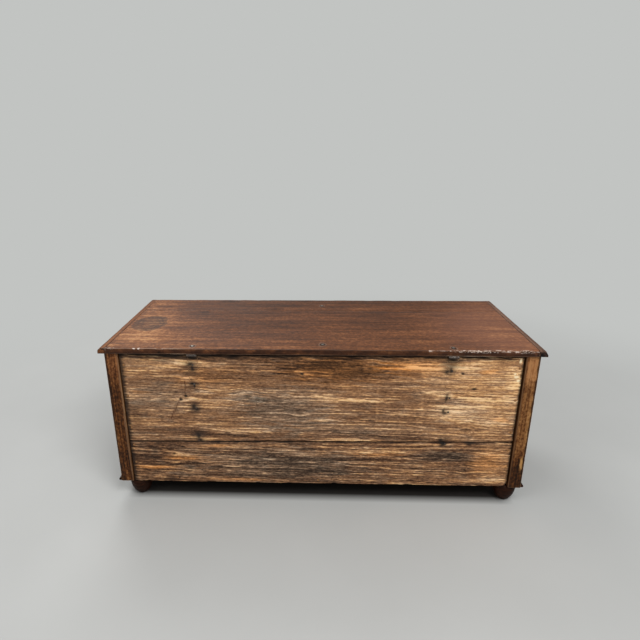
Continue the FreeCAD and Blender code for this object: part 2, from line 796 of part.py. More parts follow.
# The back: two wide boards, the upper one notched for the hinges, on a rear rail
board_x = (
    f"-({half_width} - sizes.post_back_face - sizes.left_board_gap)",
    f"{half_width} - sizes.post_back_face - sizes.right_board_gap",
)
board_y = (board_inner, board_face)
notch_width = "sizes.strap_width + 2 * sizes.notch_clearance"
notches = [
    block(
        f"{side}_hinge_notch",
        centred(hinge_x[side], notch_width),
        grown(board_y, "sizes.overrun"),
        (leg_z[0], f"{case_top} + sizes.overrun"),
    )
    for side in SIDES
]
upper_board = block("upper_back_board_blank", board_x, board_y, upper_board_z)
keep("upper_back_board", cut("upper_back_board", upper_board, notches + [strap_nail_bores, back_nail_bores]))
lower_board = block("lower_back_board_blank", board_x, board_y, lower_board_z)
keep("lower_back_board", cut("lower_back_board", lower_board, [strap_nail_bores, back_nail_bores]))
rear_rail_body = block("rear_bottom_rail_body", (f"-{post_inner}", post_inner), rear_rail_y, rear_rail_z)
rear_rail_blank = joined("rear_bottom_rail_blank", [rear_rail_body, rear_tenons[0]])

# The floor: boards that run from front to back on a ledger and on the rear rail
ledger_y = (front_inner, f"{front_inner} + sizes.ledger_size")
ledger_z = (f"{floor_under} - sizes.ledger_size", floor_under)
floor_y = (front_inner, board_inner)
floor_z = (floor_under, floor_top)
floor_pitch = f"(2 * {side_inner} / {FLOOR_BOARDS})"
post_notches = []
for side in SIDES:
    notch_x = grown(on_side(side, post_inner, half_width), "sizes.floor_notch_gap")
    for end, post_y in (("front", (front_face, front_post_inner)), ("rear", (rear_post_inner, back_face))):
        notch_y = grown(post_y, "sizes.floor_notch_gap")
        post_notches.append(
            block(f"floor_{end}_{side}_notch", notch_x, notch_y, grown(floor_z, "sizes.overrun"))
        )
floor_spans = []
floor_nail_places = []
for index in range(FLOOR_BOARDS):
    low = f"(-{side_inner} + {index} * {floor_pitch})"
    span = shrunk((low, f"{low} + {floor_pitch}"), "sizes.floor_board_gap / 2")
    floor_spans.append(span)
    for share in FLOOR_NAIL_SHARES:
        for across in (middle(ledger_y), middle(rear_rail_y)):
            floor_nail_places.append((part_way(span, share), across, floor_top))
floor_nail_places = [
    place for place in floor_nail_places if abs(number(place[0])) < number(post_inner)
]
floor_nail_length = "sizes.floor_thickness + sizes.short_nail_length"
floor_nail_bores = rods("floor_nail_bores", nail_bore, floor_nail_places, "-z", floor_nail_length)
fasteners(
    "floor_nails",
    [(floor_nail_places, "-z", [back_nail_head, ("sizes.nail_radius", "0", floor_nail_length)])],
)
for index, span in enumerate(floor_spans):
    name = f"floor_board_{index + 1}"
    blank = block(f"{name}_blank", span, floor_y, floor_z)
    keep(name, cut(name, blank, post_notches + [floor_nail_bores]))
ledger = block("front_ledger_blank", (f"-{post_inner}", post_inner), ledger_y, ledger_z)
keep("front_ledger", cut("front_ledger", ledger, [floor_nail_bores]))
keep("rear_bottom_rail", cut("rear_bottom_rail", rear_rail_blank, [back_nail_bores, floor_nail_bores]))

# The base moulding: two crossed profiles give a blank with mitred corners
nose_drop = "sqrt(sizes.moulding_nose_radius ^ 2 - (sizes.moulding_nose_height / 2) ^ 2)"
nose_base = f"(sizes.moulding_projection - sizes.moulding_nose_radius + {nose_drop})"
moulding_low = f"({case_floor} + sizes.moulding_lift)"
nose_top = f"({moulding_low} + sizes.moulding_nose_height)"
moulding_top = f"({moulding_low} + sizes.moulding_height)"
moulding_out = f"({half_width} + sizes.moulding_projection)"
moulding_front = f"({front_face} - sizes.moulding_projection)"
front_profile = padded(
    "moulding_front_profile",
    "YZ_Plane",
    [
        (back_face, moulding_low),
        (f"{front_face} - {nose_base}", moulding_low),
        (f"{front_face} - {nose_base}", nose_top),
        (front_face, moulding_top),
        (back_face, moulding_top),
    ],
    {1: ("sizes.moulding_nose_radius", 1)},
    f"-{moulding_out}",
    moulding_out,
)
side_profile = padded(
    "moulding_side_profile",
    "XZ_Plane",
    [
        (f"-({half_width} + {nose_base})", moulding_low),
        (f"{half_width} + {nose_base}", moulding_low),
        (f"{half_width} + {nose_base}", nose_top),
        (half_width, moulding_top),
        (f"-{half_width}", moulding_top),
        (f"-({half_width} + {nose_base})", nose_top),
    ],
    {1: ("sizes.moulding_nose_radius", -1), 5: ("sizes.moulding_nose_radius", -1)},
    moulding_front,
    back_face,
    normal_sign=-1,
)
moulding_solid = common("moulding_solid", front_profile, side_profile)
case_core = block(
    "case_core",
    (f"-{half_width}", half_width),
    (front_face, f"{back_face} + sizes.overrun"),
    grown((moulding_low, moulding_top), "sizes.overrun"),
)
moulding_blank = cut("moulding_blank", moulding_solid, [case_core])
mitre = doc.addObject("Part::Wedge", "moulding_mitre")
mitre.setExpression("Ymin", f"{front_face} - 2 * sizes.moulding_projection")
mitre.setExpression("Ymax", front_face)
mitre.setExpression("Xmin", f"-({half_width} + 2 * sizes.moulding_projection)")
mitre.setExpression("Xmax", f"{half_width} + 2 * sizes.moulding_projection")
mitre.setExpression("X2min", f"-{half_width}")
mitre.setExpression("X2max", half_width)
for low_name, high_name in (("Zmin", "Zmax"), ("Z2min", "Z2max")):
    mitre.setExpression(low_name, f"{moulding_low} - sizes.overrun")
    mitre.setExpression(high_name, f"{moulding_top} + sizes.overrun")
keep("front_base_moulding", common("front_base_moulding", moulding_blank, mitre))
side_mouldings = cut("side_mouldings", moulding_blank, [mitre])
for side in SIDES:
    name = f"{side}_base_moulding"
    region = block(
        f"{name}_region",
        on_side(side, "0", f"{moulding_out} + sizes.overrun"),
        grown((moulding_front, back_face), "sizes.overrun"),
        grown((moulding_low, moulding_top), "sizes.overrun"),
    )
    keep(name, common(name, side_mouldings, region))

# Lid nails: clenched through the lid at the hinges and the batten, short ones elsewhere
batten_y = (f"{front_inner} + sizes.batten_front_gap", f"{board_inner} - sizes.batten_back_gap")
batten_z = (f"{case_top} - sizes.batten_thickness", case_top)
batten_under = batten_z[0]
batten_middle = "(-sizes.batten_offset)"
strap_under = f"({case_top} - sizes.strap_thickness)"
hinge_rivet_y = middle((board_inner, strap_shoulder_y))
hinge_rivet_places = [(hinge_x[side], hinge_rivet_y, strap_under) for side in SIDES]
batten_rivet_places = [
    (batten_middle, f"{batten_y[0]} + sizes.batten_front_rivet_inset", batten_under),
    (batten_middle, f"{batten_y[1]} - sizes.batten_back_rivet_inset", batten_under),
]
lid_short_nail_places = [
    (hinge_x[side], f"{hinge_rivet_y} - {share} * (({hinge_rivet_y}) - ({upper_strap_y[0]}))", strap_under)
    for side in SIDES
    for share in UPPER_STRAP_NAIL_SHARES
]


def clenched_nail(depth):
    """The steps of a nail that runs through a thickness and is spread on the far side."""
    clench = ("sizes.clench_radius", depth, f"{depth} + sizes.clench_thickness")
    return [nail_head, ("sizes.nail_radius", "0", depth), clench]


strap_rivet_depth = "sizes.strap_thickness + sizes.lid_thickness"
batten_rivet_depth = "sizes.batten_thickness + sizes.lid_thickness"
bolt_y = centred(middle(lock_cavity_y), "sizes.bolt_depth")
staple_x = centred("0", "sizes.staple_width")
staple_plate_x = centred("0", "sizes.staple_plate_length")
staple_plate_y = centred(middle(bolt_y), "sizes.staple_plate_width")
staple_plate_z = (case_top, f"{case_top} + sizes.staple_plate_thickness")
staple_nail_x = "(sizes.staple_plate_length / 2 - sizes.lock_nail_inset)"
staple_nail_places = [(at_side(side, staple_nail_x), middle(staple_plate_y), case_top) for side in SIDES]
lid_bores = [
    rods("hinge_rivet_bores", nail_bore, hinge_rivet_places, "+z", strap_rivet_depth),
    rods("batten_rivet_bores", nail_bore, batten_rivet_places, "+z", batten_rivet_depth),
    rods("lid_short_nail_bores", nail_bore, lid_short_nail_places, "+z", "sizes.short_nail_length"),
    rods("staple_nail_bores", lock_nail_bore, staple_nail_places, "+z", "sizes.short_nail_length"),
]
fasteners(
    "lid_nails",
    [
        (hinge_rivet_places, "+z", clenched_nail(strap_rivet_depth)),
        (batten_rivet_places, "+z", clenched_nail(batten_rivet_depth)),
        (lid_short_nail_places, "+z", [nail_head, ("sizes.nail_radius", "0", "sizes.short_nail_length")]),
        (staple_nail_places, "+z", [("sizes.lock_nail_radius", "0", "sizes.short_nail_length")]),
    ],
)

# The lid: a blank with a thumb moulding on its front and its ends, parted into boards and cleats
thumb_base = f"({lid_top} - sizes.thumb_step)"
thumb_low = f"({thumb_base} - sizes.thumb_radius)"
lid_front_profile = padded(
    "lid_front_profile",
    "YZ_Plane",
    [
        (lid_back, case_top),
        (lid_back, lid_top),
        (f"{lid_front} + sizes.thumb_radius", lid_top),
        (f"{lid_front} + sizes.thumb_radius", thumb_base),
        (lid_front, thumb_low),
        (lid_front, case_top),
    ],
    {3: ("sizes.thumb_radius", -1)},
    f"-{lid_end}",
    lid_end,
)
lid_end_profile = padded(
    "lid_end_profile",
    "XZ_Plane",
    [
        (f"-{lid_end}", case_top),
        (f"-{lid_end}", thumb_low),
        (f"-({lid_end} - sizes.thumb_radius)", thumb_base),
        (f"-({lid_end} - sizes.thumb_radius)", lid_top),
        (f"{lid_end} - sizes.thumb_radius", lid_top),
        (f"{lid_end} - sizes.thumb_radius", thumb_base),
        (lid_end, thumb_low),
        (lid_end, case_top),
    ],
    {1: ("sizes.thumb_radius", 1), 5: ("sizes.thumb_radius", 1)},
    lid_front,
    lid_back,
    normal_sign=-1,
)
lid_blank = common("lid_blank", lid_front_profile, lid_end_profile)
cleat_inner = f"({lid_end} - sizes.lid_cleat_width)"
lid_joint = f"({lid_front} + sizes.lid_front_board_width)"
lid_z = (case_top, lid_top)
tongue_z = centred(middle(lid_z), "sizes.lid_tongue_thickness")
tongue_reach = f"({cleat_inner} + sizes.lid_tongue_length)"
tongue_x = (f"-{tongue_reach}", tongue_reach)
staple_recess = block("staple_recess", staple_plate_x, staple_plate_y, staple_plate_z)
lid_boards = {
    "rear": ((lid_joint, lid_back), (lid_joint, f"{lid_back} - sizes.lid_tongue_stop")),
    "front": ((lid_front, lid_joint), (f"{lid_front} + sizes.lid_tongue_stop", lid_joint)),
}
for place, (board_span, tongue_span) in lid_boards.items():
    name = f"lid_{place}_board"
    between_cleats = (f"-{cleat_inner}", cleat_inner)
    region = block(f"{name}_region", between_cleats, board_span, grown(lid_z, "sizes.overrun"))
    body = common(f"{name}_body", lid_blank, region)
    tongue = block(f"{name}_tongue", tongue_x, tongue_span, tongue_z)
    keep(name, cut(name, joined(f"{name}_blank", [body, tongue]), lid_bores + [staple_recess]))
cleat_groove = block(
    "cleat_groove",
    grown(tongue_x, "sizes.mortise_end_gap"),
    grown((lid_boards["front"][1][0], lid_boards["rear"][1][1]), "sizes.mortise_end_gap"),
    grown(tongue_z, "sizes.joint_clearance"),
)
for side in SIDES:
    name = f"{side}_lid_cleat"
    region = block(
        f"{name}_region",
        on_side(side, cleat_inner, f"{lid_end} + sizes.overrun"),
        grown((lid_front, lid_back), "sizes.overrun"),
        grown(lid_z, "sizes.overrun"),
    )
    keep(name, cut(name, common(f"{name}_body", lid_blank, region), [cleat_groove]))
batten = block("lid_batten_blank", centred(batten_middle, "sizes.batten_width"), batten_y, batten_z)
keep("lid_batten", cut("lid_batten", batten, lid_bores))

# Strap hinges: the lid's leaf has the middle knuckle, the case's leaf the two outer ones
knuckle_width = "(sizes.strap_width / 3)"
for side in SIDES:
    centre = hinge_x[side]
    pin_reach = "(sizes.strap_width / 2 + sizes.hinge_pin_overhang)"
    pin_start = (f"{centre} - {pin_reach}", barrel_y, barrel_z)
    pin_bore = "sizes.hinge_pin_radius + sizes.hinge_pin_clearance"
    bore = rod(f"{side}_pin_bore", pin_bore, "x", pin_start, f"2 * {pin_reach}")
    pin_name = f"{side}_hinge_pin"
    keep(pin_name, rod(pin_name, "sizes.hinge_pin_radius", "x", pin_start, f"2 * {pin_reach}"))

    name = f"{side}_upper_strap"
    middle_x = shrunk(centred(centre, knuckle_width), "sizes.knuckle_side_gap / 2")
    lid_leaf_z = (strap_under, case_top)
    leaf = block(f"{name}_leaf", centred(centre, "sizes.strap_width"), upper_strap_y, lid_leaf_z)
    end_centre = (centre, upper_strap_y[0], strap_under)
    end_round = rod(f"{name}_end", "sizes.strap_end_radius", "z", end_centre, "sizes.strap_thickness")
    neck = block(f"{name}_neck", middle_x, (strap_shoulder_y, barrel_y), lid_leaf_z)
    knuckle = rod(
        f"{name}_knuckle",
        "sizes.knuckle_radius",
        "x",
        (middle_x[0], barrel_y, barrel_z),
        f"({middle_x[1]}) - ({middle_x[0]})",
    )
    keep(name, cut(name, joined(f"{name}_blank", [leaf, end_round, neck, knuckle]), [bore] + lid_bores))

    name = f"{side}_lower_strap"
    leg = block(
        f"{name}_leg", centred(centre, "sizes.strap_width"), (strap_face, board_inner), lower_strap_z
    )
    shelf = block(
        f"{name}_shelf", centred(centre, "sizes.strap_width"), (strap_face, strap_shoulder_y), leg_z
    )
    end_centre = (centre, strap_face, lower_strap_z[0])
    end_round = rod(f"{name}_end", "sizes.strap_end_radius", "y", end_centre, "sizes.strap_thickness")
    shapes = [leg, shelf, end_round]
    outer_edge = "sizes.strap_width / 2"
    inner_edge = f"{knuckle_width} / 2 + sizes.knuckle_side_gap / 2"
    outer_spans = {
        "outer_low": (f"{centre} - {outer_edge}", f"{centre} - ({inner_edge})"),
        "outer_high": (f"{centre} + {inner_edge}", f"{centre} + {outer_edge}"),
    }
    for place, span in outer_spans.items():
        shapes.append(block(f"{name}_{place}_neck", span, (strap_shoulder_y, barrel_y), leg_z))
        length = f"({span[1]}) - ({span[0]})"
        start = (span[0], barrel_y, barrel_z)
        shapes.append(rod(f"{name}_{place}_knuckle", case_knuckle_radius, "x", start, length))
    keep(name, cut(name, joined(f"{name}_blank", shapes), [bore, strap_nail_bores]))

# The lock: a shallow case behind the top rail, a sliding bolt and the lid's staple
lock_x = centred("0", "sizes.lock_width")
bolt_z = (
    f"{lock_z[1]} - sizes.bolt_drop - sizes.bolt_height",
    f"{lock_z[1]} - sizes.bolt_drop",
)
bolt_tip = "(-sizes.staple_width / 2 - sizes.bolt_tip_gap)"
bolt_x = (f"{bolt_tip} - sizes.bolt_length", bolt_tip)
lock_shell = block("lock_shell", lock_x, lock_y, lock_z)
lock_cavity = block(
    "lock_cavity",
    shrunk(lock_x, "sizes.lock_wall"),
    (f"{lock_y[0]} - sizes.overrun", lock_cavity_y[1]),
    shrunk(lock_z, "sizes.lock_wall"),
)
lock_tray = cut("lock_tray", lock_shell, [lock_cavity])
guides = []
for order in (1, 2):
    guide_high = f"{bolt_tip} - {order} * sizes.guide_pitch + sizes.guide_pitch / 2"
    guides.append(
        block(
            f"bolt_guide_{order}",
            (f"{guide_high} - sizes.guide_thickness", guide_high),
            lock_cavity_y,
            grown(bolt_z, "sizes.guide_rim"),
        )
    )
post_sleeves = [
    rod(
        f"lock_sleeve_{index + 1}",
        "sizes.lock_nail_head_radius",
        "y",
        (place[0], lock_y[0], place[2]),
        "sizes.lock_depth",
    )
    for index, place in enumerate(lock_nail_places)
]
bolt_way = block(
    "bolt_way",
    bolt_x,
    grown(bolt_y, "sizes.bolt_clearance"),
    grown(bolt_z, "sizes.bolt_clearance"),
)
staple_slot = block(
    "staple_slot",
    grown(staple_x, "sizes.staple_slot_gap"),
    (f"{lock_y[0]} - sizes.overrun", lock_cavity_y[1]),
    grown((f"{lock_z[1]} - sizes.lock_wall", lock_z[1]), "sizes.lock_wall / 2"),
)
lock_solid = joined("lock_solid", [lock_tray] + guides + post_sleeves)
keep("lock_case", cut("lock_case", lock_solid, [bolt_way, staple_slot, lock_nail_bores]))
bolt_bar = block("lock_bolt_bar", bolt_x, bolt_y, bolt_z)
bolt_notch = block(
    "bolt_notch",
    centred(middle(bolt_x), "sizes.bolt_notch_width"),
    grown(bolt_y, "sizes.overrun"),
    (f"{bolt_z[0]} - sizes.overrun", f"{bolt_z[0]} + sizes.bolt_notch_depth"),
)
keep("lock_bolt", cut("lock_bolt", bolt_bar, [bolt_notch]))
eye_y = grown(bolt_y, "sizes.staple_eye_gap")
loop_z = (f"{case_top} - sizes.staple_length", case_top)
staple_plate = block("staple_plate", staple_plate_x, staple_plate_y, staple_plate_z)
staple_loop = block("staple_loop", staple_x, grown(eye_y, "sizes.staple_leg"), loop_z)
staple_eye = block(
    "staple_eye",
    grown(staple_x, "sizes.overrun"),
    eye_y,
    (f"{loop_z[0]} + sizes.staple_foot", case_top),
)
staple_solid = joined("staple_solid", [staple_plate, cut("staple_hoop", staple_loop, [staple_eye])])
keep("lock_staple", cut("lock_staple", staple_solid, lid_bores))

# The escutcheon: a shield-shaped plate with the keyhole
shield_half = "(sizes.escutcheon_width / 2)"
shield_waist = middle(escutcheon_z)
shield = padded(
    "escutcheon_plate",
    "XZ_Plane",
    [
        (f"-{shield_half}", escutcheon_z[1]),
        (f"-{shield_half}", shield_waist),
        ("0", escutcheon_z[0]),
        (shield_half, shield_waist),
        (shield_half, escutcheon_z[1]),
    ],
    {1: ("sizes.escutcheon_corner_arc", -1), 2: ("sizes.escutcheon_corner_arc", -1)},
    escutcheon_front,
    front_face,
    normal_sign=-1,
)
keep("escutcheon", cut("escutcheon", shield, [keyhole, escutcheon_nail_bores]))

doc.recompute()

# Nothing is written unless every object is sound
for thing in doc.Objects:
    faults = [state for state in thing.State if state in ("Invalid", "Error")]
    if faults:
        raise RuntimeError(f"{thing.Name} failed: {thing.State}")
for piece in pieces:
    if piece.Shape.isNull() or not piece.Shape.isValid() or not piece.Shape.Solids:
        raise RuntimeError(f"{piece.Label} has no sound shape")

os.makedirs("parts", exist_ok=True)
for piece in pieces:
    piece.Shape.exportStep(f"parts/{piece.Label}.step")
whole = Part.makeCompound([piece.Shape for piece in pieces]).BoundBox
print(f"{len(pieces)} pieces, {whole.XLength:.1f} x {whole.YLength:.1f} x {whole.ZLength:.1f} mm")
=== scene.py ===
# %% [markdown]
# # A joined chest, seen from behind
# This is a long oak chest with carved panels in front, two rough pine boards nailed on behind,
# turned bun feet and a heavy boarded lid on iron straps. The script first loads the measured
# construction model, which fixes every place and size, and then makes the pieces that are seen.

# %% Load the construction model
import itertools
import math

import bmesh
import bpy
import numpy as np
from mathutils import Matrix, Vector


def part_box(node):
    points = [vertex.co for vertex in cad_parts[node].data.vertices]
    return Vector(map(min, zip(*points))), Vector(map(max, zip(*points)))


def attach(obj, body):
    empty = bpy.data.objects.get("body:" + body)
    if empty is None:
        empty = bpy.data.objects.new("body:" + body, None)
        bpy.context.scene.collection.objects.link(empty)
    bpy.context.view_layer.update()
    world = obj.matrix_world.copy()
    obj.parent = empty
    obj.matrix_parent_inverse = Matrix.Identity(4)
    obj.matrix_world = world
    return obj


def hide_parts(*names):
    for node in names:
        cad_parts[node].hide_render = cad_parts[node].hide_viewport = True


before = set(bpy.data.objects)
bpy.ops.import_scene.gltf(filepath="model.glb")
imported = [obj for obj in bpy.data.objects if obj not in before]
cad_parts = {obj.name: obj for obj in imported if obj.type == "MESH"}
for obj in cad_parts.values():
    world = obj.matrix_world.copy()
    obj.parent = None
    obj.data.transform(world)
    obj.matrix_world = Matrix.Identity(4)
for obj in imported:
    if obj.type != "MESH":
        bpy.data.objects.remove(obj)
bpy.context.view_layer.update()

# %% [markdown]
# ## Shared places
# The pieces made here meet others that keep the shape of the construction model, so the places
# where they meet are read from it. Wood that meets wood stops a hair short of it.

# %% Places read from the model
HAIR = 0.0002


def corners(node):
    """The lowest and the highest corner of a solid, to a hundredth of a millimetre."""
    return [[round(value, 5) for value in corner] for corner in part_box(node)]


(POST_INNER, POST_FRONT, CASE_LOW), (POST_OUTER, POST_BACK, LID_LOW) = corners("rear_right_post")
CASE_TOP = LID_LOW - HAIR
(BOARD_LEFT, BOARD_INSIDE, _), (BOARD_RIGHT, BOARD_FACE, _) = corners("upper_back_board")
(CLEAT, LID_FRONT, _), (_, LID_BACK, LID_TOP) = corners("right_lid_cleat")
(_, LID_SEAM, _), _ = corners("lid_rear_board")
(_, RAIL_FACE, TOP_RAIL_LOW), (_, RAIL_BACK, _) = corners("front_top_rail")
_, (_, _, FOOT_RAIL_TOP) = corners("front_bottom_rail")
MIDDLE = (FOOT_RAIL_TOP + TOP_RAIL_LOW) / 2
_, (_, FRONT_POST_BACK, _) = corners("front_right_post")
(SIDE_INNER, _, _), (SIDE_OUTER, _, _) = corners("right_top_rail")
HINGES = [sum(end[0] for end in corners(f"{side}_hinge_pin")) / 2 for side in ("left", "right")]
print("case", CASE_LOW, "to", round(CASE_TOP, 4), "lid to", LID_TOP, "hinges at", HINGES)

# %% [markdown]
# ## The camera
# The photograph was taken from chest height, a step behind the piece, with a wide lens held
# slightly low. Its place and its turn were worked out from the corners of the chest, so they are
# set once as three axes: to the right of the picture, up it, and out of it towards the viewer.

# %% Camera
PICTURE_WIDTH = 640
FOCAL_PIXELS = 493.1
PIXELS_OFF_CENTRE = (22.1, -6.2)
LENS_PLACE = Vector((0.0062, 1.9671, 1.3569))
camera_data = bpy.data.cameras.new("photograph_camera")
camera = bpy.data.objects.new("photograph_camera", camera_data)
bpy.context.scene.collection.objects.link(camera)
picture_axes = Matrix((
    (-0.99921, -0.03888, -0.00795),
    (0.00475, -0.31604, 0.94873),
    (-0.03940, 0.94795, 0.31598),
)).transposed()
camera.matrix_world = Matrix.LocRotScale(LENS_PLACE, picture_axes.to_quaternion(), None)
camera_data.sensor_width = 36
camera_data.lens = FOCAL_PIXELS / PICTURE_WIDTH * camera_data.sensor_width
camera_data.shift_x, camera_data.shift_y = (part / PICTURE_WIDTH for part in PIXELS_OFF_CENTRE)
bpy.context.scene.camera = camera
bpy.context.scene.view_settings.view_transform = "Standard"
print("lens", round(camera_data.lens, 2), "mm")

# %% [markdown]
# ## Colours and shader nodes
# Colours are noted as the hex values a paint chart would give, and Blender works in linear light,
# so one function converts them. Another adds a shader node with its inputs and settings and gives
# back one of its outputs; every material below is built with those two. A last one joins what
# they made to the shader: colour, roughness and relief.

# %% Colour and node helpers
def linear(code):
    """A linear colour with alpha from an sRGB hex code."""
    values = [int(code[place : place + 2], 16) / 255 for place in (1, 3, 5)]
    return (*[v / 12.92 if v <= 0.04045 else ((v + 0.055) / 1.055) ** 2.4 for v in values], 1)


def add(tree, kind, inputs=None, take=0, stops=(), **settings):
    """Add a shader node, fed with values, colour codes or outputs of others. Returns one output."""
    node = tree.nodes.new("ShaderNode" + kind)
    for name, value in settings.items():
        setattr(node, name, value)
    for socket, value in (inputs or {}).items():
        if isinstance(value, bpy.types.NodeSocket):
            tree.links.new(value, node.inputs[socket])
        else:
            node.inputs[socket].default_value = linear(value) if isinstance(value, str) else value
    for number, (place, code) in enumerate(stops):
        points = node.color_ramp.elements
        point = points[number] if number < len(points) else points.new(place)
        point.position, point.color = place, linear(code)
    return node.outputs[take]


def finish_named(name):
    """An empty finish: the material, its node tree and its shader."""
    material = bpy.data.materials.new(name)
    material.use_nodes = True
    return material, material.node_tree, material.node_tree.nodes["Principled BSDF"]


def surface(tree, shader, colour, shine, height, relief):
    """Give a shader its colour and roughness, and a relief of so many metres."""
    bump = add(tree, "Bump", {"Height": height, "Distance": relief})
    for name, value in (("Base Color", colour), ("Roughness", shine), ("Normal", bump)):
        tree.links.new(value, shader.inputs[name])


# %% [markdown]
# ## A plain studio
# The chest stands on a pale floor under soft light, so its own colours are judged and not the
# room's. The world gives half of the light evenly; three large softboxes give the other half and
# the soft shadow. A colour then renders about as it is written. The floor keeps the shadow near
# the chest and turns into the colour of the backdrop further out, as a paper sweep does. It is
# painted dark where the chest stands, so that the low gap between the feet reads as deep shade.

# %% Floor and world
FLOOR_SIZE = 60
# Where the floor starts to turn into the backdrop, and where it has done so
SWEEP_START, SWEEP_END = 1.1, 3.2
# The edges of the dark part, on two axes from the middle of the chest
SHADE_EDGES = (("X", POST_OUTER - 0.010), ("Y", POST_BACK + 0.003))
SHADE_SOFTNESS = 0.05


def backdrop(tree):
    """The backdrop: its pale colour where it is seen or mirrored, plain light otherwise."""
    either = add(tree, "LightPath", take="Is Camera Ray")
    for name in ("Is Glossy Ray", "Is Transmission Ray"):
        other = add(tree, "LightPath", take=name)
        either = add(tree, "Math", {0: either, 1: other}, operation="MAXIMUM")
    return add(tree, "Mix", {0: either, 6: "#B4B4B4", 7: "#C2C4C2"}, 2, data_type="RGBA")


bpy.ops.mesh.primitive_plane_add(size=FLOOR_SIZE)
floor = bpy.context.object
floor.name = "studio_floor"
floor_paint, tree, shader = finish_named("pale floor paint")
place = add(tree, "TexCoord", take="Object")
mottle = add(tree, "TexNoise", {"Vector": place, "Scale": 1.3, "Detail": 4.0})
paint = add(tree, "ValToRGB", {0: mottle}, stops=[(0.3, "#B0B1AF"), (0.7, "#B6B7B5")])
under_chest = 1.0
for axis, edge in SHADE_EDGES:
    across = add(tree, "SeparateXYZ", {0: place}, axis)
    across = add(tree, "Math", {0: across}, operation="ABSOLUTE")
    across = add(tree, "MapRange", {0: across, 1: edge, 2: edge - SHADE_SOFTNESS})
    under_chest = add(tree, "Math", {0: under_chest, 1: across}, operation="MULTIPLY")
paint = add(tree, "Mix", {0: under_chest, 6: paint, 7: "#2C2A28"}, 2, data_type="RGBA")
tree.links.new(paint, shader.inputs["Base Color"])
shader.inputs["Roughness"].default_value = 0.9
shader.inputs["Specular IOR Level"].default_value = 0.1
away = add(tree, "VectorMath", {0: place}, "Value", operation="LENGTH")
far = add(tree, "MapRange", {0: away, 1: SWEEP_START, 2: SWEEP_END},
          interpolation_type="SMOOTHERSTEP")
sweep = add(tree, "Emission", {"Color": backdrop(tree)})
mixed = add(tree, "MixShader", {0: far, 1: shader.outputs[0], 2: sweep})
tree.links.new(mixed, tree.nodes["Material Output"].inputs["Surface"])
floor.data.materials.append(floor_paint)

world = bpy.data.worlds.new("studio")
bpy.context.scene.world = world
world.use_nodes = True
tree = world.node_tree
tree.links.new(backdrop(tree), tree.nodes["Background"].inputs["Color"])
print("floor and world ready")

# %% Softboxes
LIT_POINT = Vector((0, 0, 0.4))


def softbox(name, place, size, share):
    """A square lamp; share is the part of full light that it gives to a face turned to it."""
    lamp_data = bpy.data.lights.new(name, "AREA")
    lamp_data.size = size
    aim = LIT_POINT - Vector(place)
    lamp_data.energy = share * math.pi**2 * aim.length**2
    lamp = bpy.data.objects.new(name, lamp_data)
    lamp.matrix_world = Matrix.LocRotScale(Vector(place), aim.to_track_quat("-Z", "Y"), None)
    bpy.context.scene.collection.objects.link(lamp)
    print(name, round(lamp_data.energy, 1), "W")


softbox("key_softbox", (-1.5, 2.7, 3.8), 1.8, 0.62)
softbox("fill_softbox", (2.5, 2.3, 3.0), 2.2, 0.26)
softbox("front_softbox", (1.7, -2.9, 3.6), 2.2, 0.42)

# %% [markdown]
# ## Hands on the mesh
# A few small helpers save repeating the same handwork. Two clear the selection or pick one piece,
# because every operator acts on all that is selected. Two read and write all the points of a mesh
# at once, which is how wood is worn: thousands of points moved a little, by a smooth random amount.

# %% Points and noise
def deselect():
    bpy.ops.object.select_all(action="DESELECT")


def pick(piece):
    """Make one piece the only selected one and the active one."""
    deselect()
    piece.select_set(True)
    bpy.context.view_layer.objects.active = piece


def points_of(piece):
    points = np.empty(len(piece.data.vertices) * 3, np.float32)
    piece.data.vertices.foreach_get("co", points)
    return points.reshape(-1, 3).astype(float)


def set_points(piece, points):
    piece.data.vertices.foreach_set("co", np.asarray(points, np.float32).ravel())
    piece.data.update()


def noise(places, cell, seed):
    """Smooth random values from -1 to 1, with cells of the given sizes in metres."""
    places = np.asarray(places, float) / np.array(cell) + seed * 17.13
    base = np.floor(places)
    part = places - base
    part = part * part * (3 - 2 * part)
    key = np.array((127.1, 311.7, 74.7))[: places.shape[1]]
    total = np.zeros(len(places))
    for corner in itertools.product((0, 1), repeat=places.shape[1]):
        corner = np.array(corner)
        random = np.modf(np.sin((base + corner) @ key) * 43758.5453)[0]
        total += np.prod(np.where(corner, part, 1 - part), axis=1) * random
    return total


def smooth(low, high, value):
    """0 below low, 1 above high, and a soft step between."""
    share = np.clip((value - low) / (high - low), 0, 1)
    return share * share * (3 - 2 * share)


# %% [markdown]
# ## Sawing out timber
# Nearly every piece of the chest is a length of wood with one section all along. So a face is
# drawn through the corners of that section and extruded to length. Cuts across the length give
# the mesh enough points for wear, and a bevel takes off the sharp arrises: no old chest has any.
# The bevel's faces take the second material, a rubbed version of the wood, which catches light.

# %% Timber
AXES = "xyz"
SIDES = (("left", -1), ("right", 1))


def select_edges(piece, wanted):
    """In edit mode, select the edges for which wanted(edge) is true."""
    bpy.ops.object.mode_set(mode="EDIT")
    bpy.ops.mesh.select_mode(type="EDGE")
    bpy.ops.mesh.select_all(action="DESELECT")
    shape = bmesh.from_edit_mesh(piece.data)
    for edge in shape.edges:
        edge.select_set(wanted(edge))
    bmesh.update_edit_mesh(piece.data)


def outward():
    """In edit mode, turn every face outwards and go back to object mode."""
    bpy.ops.mesh.select_all(action="SELECT")
    bpy.ops.mesh.normals_make_consistent(inside=False)
    bpy.ops.object.mode_set(mode="OBJECT")


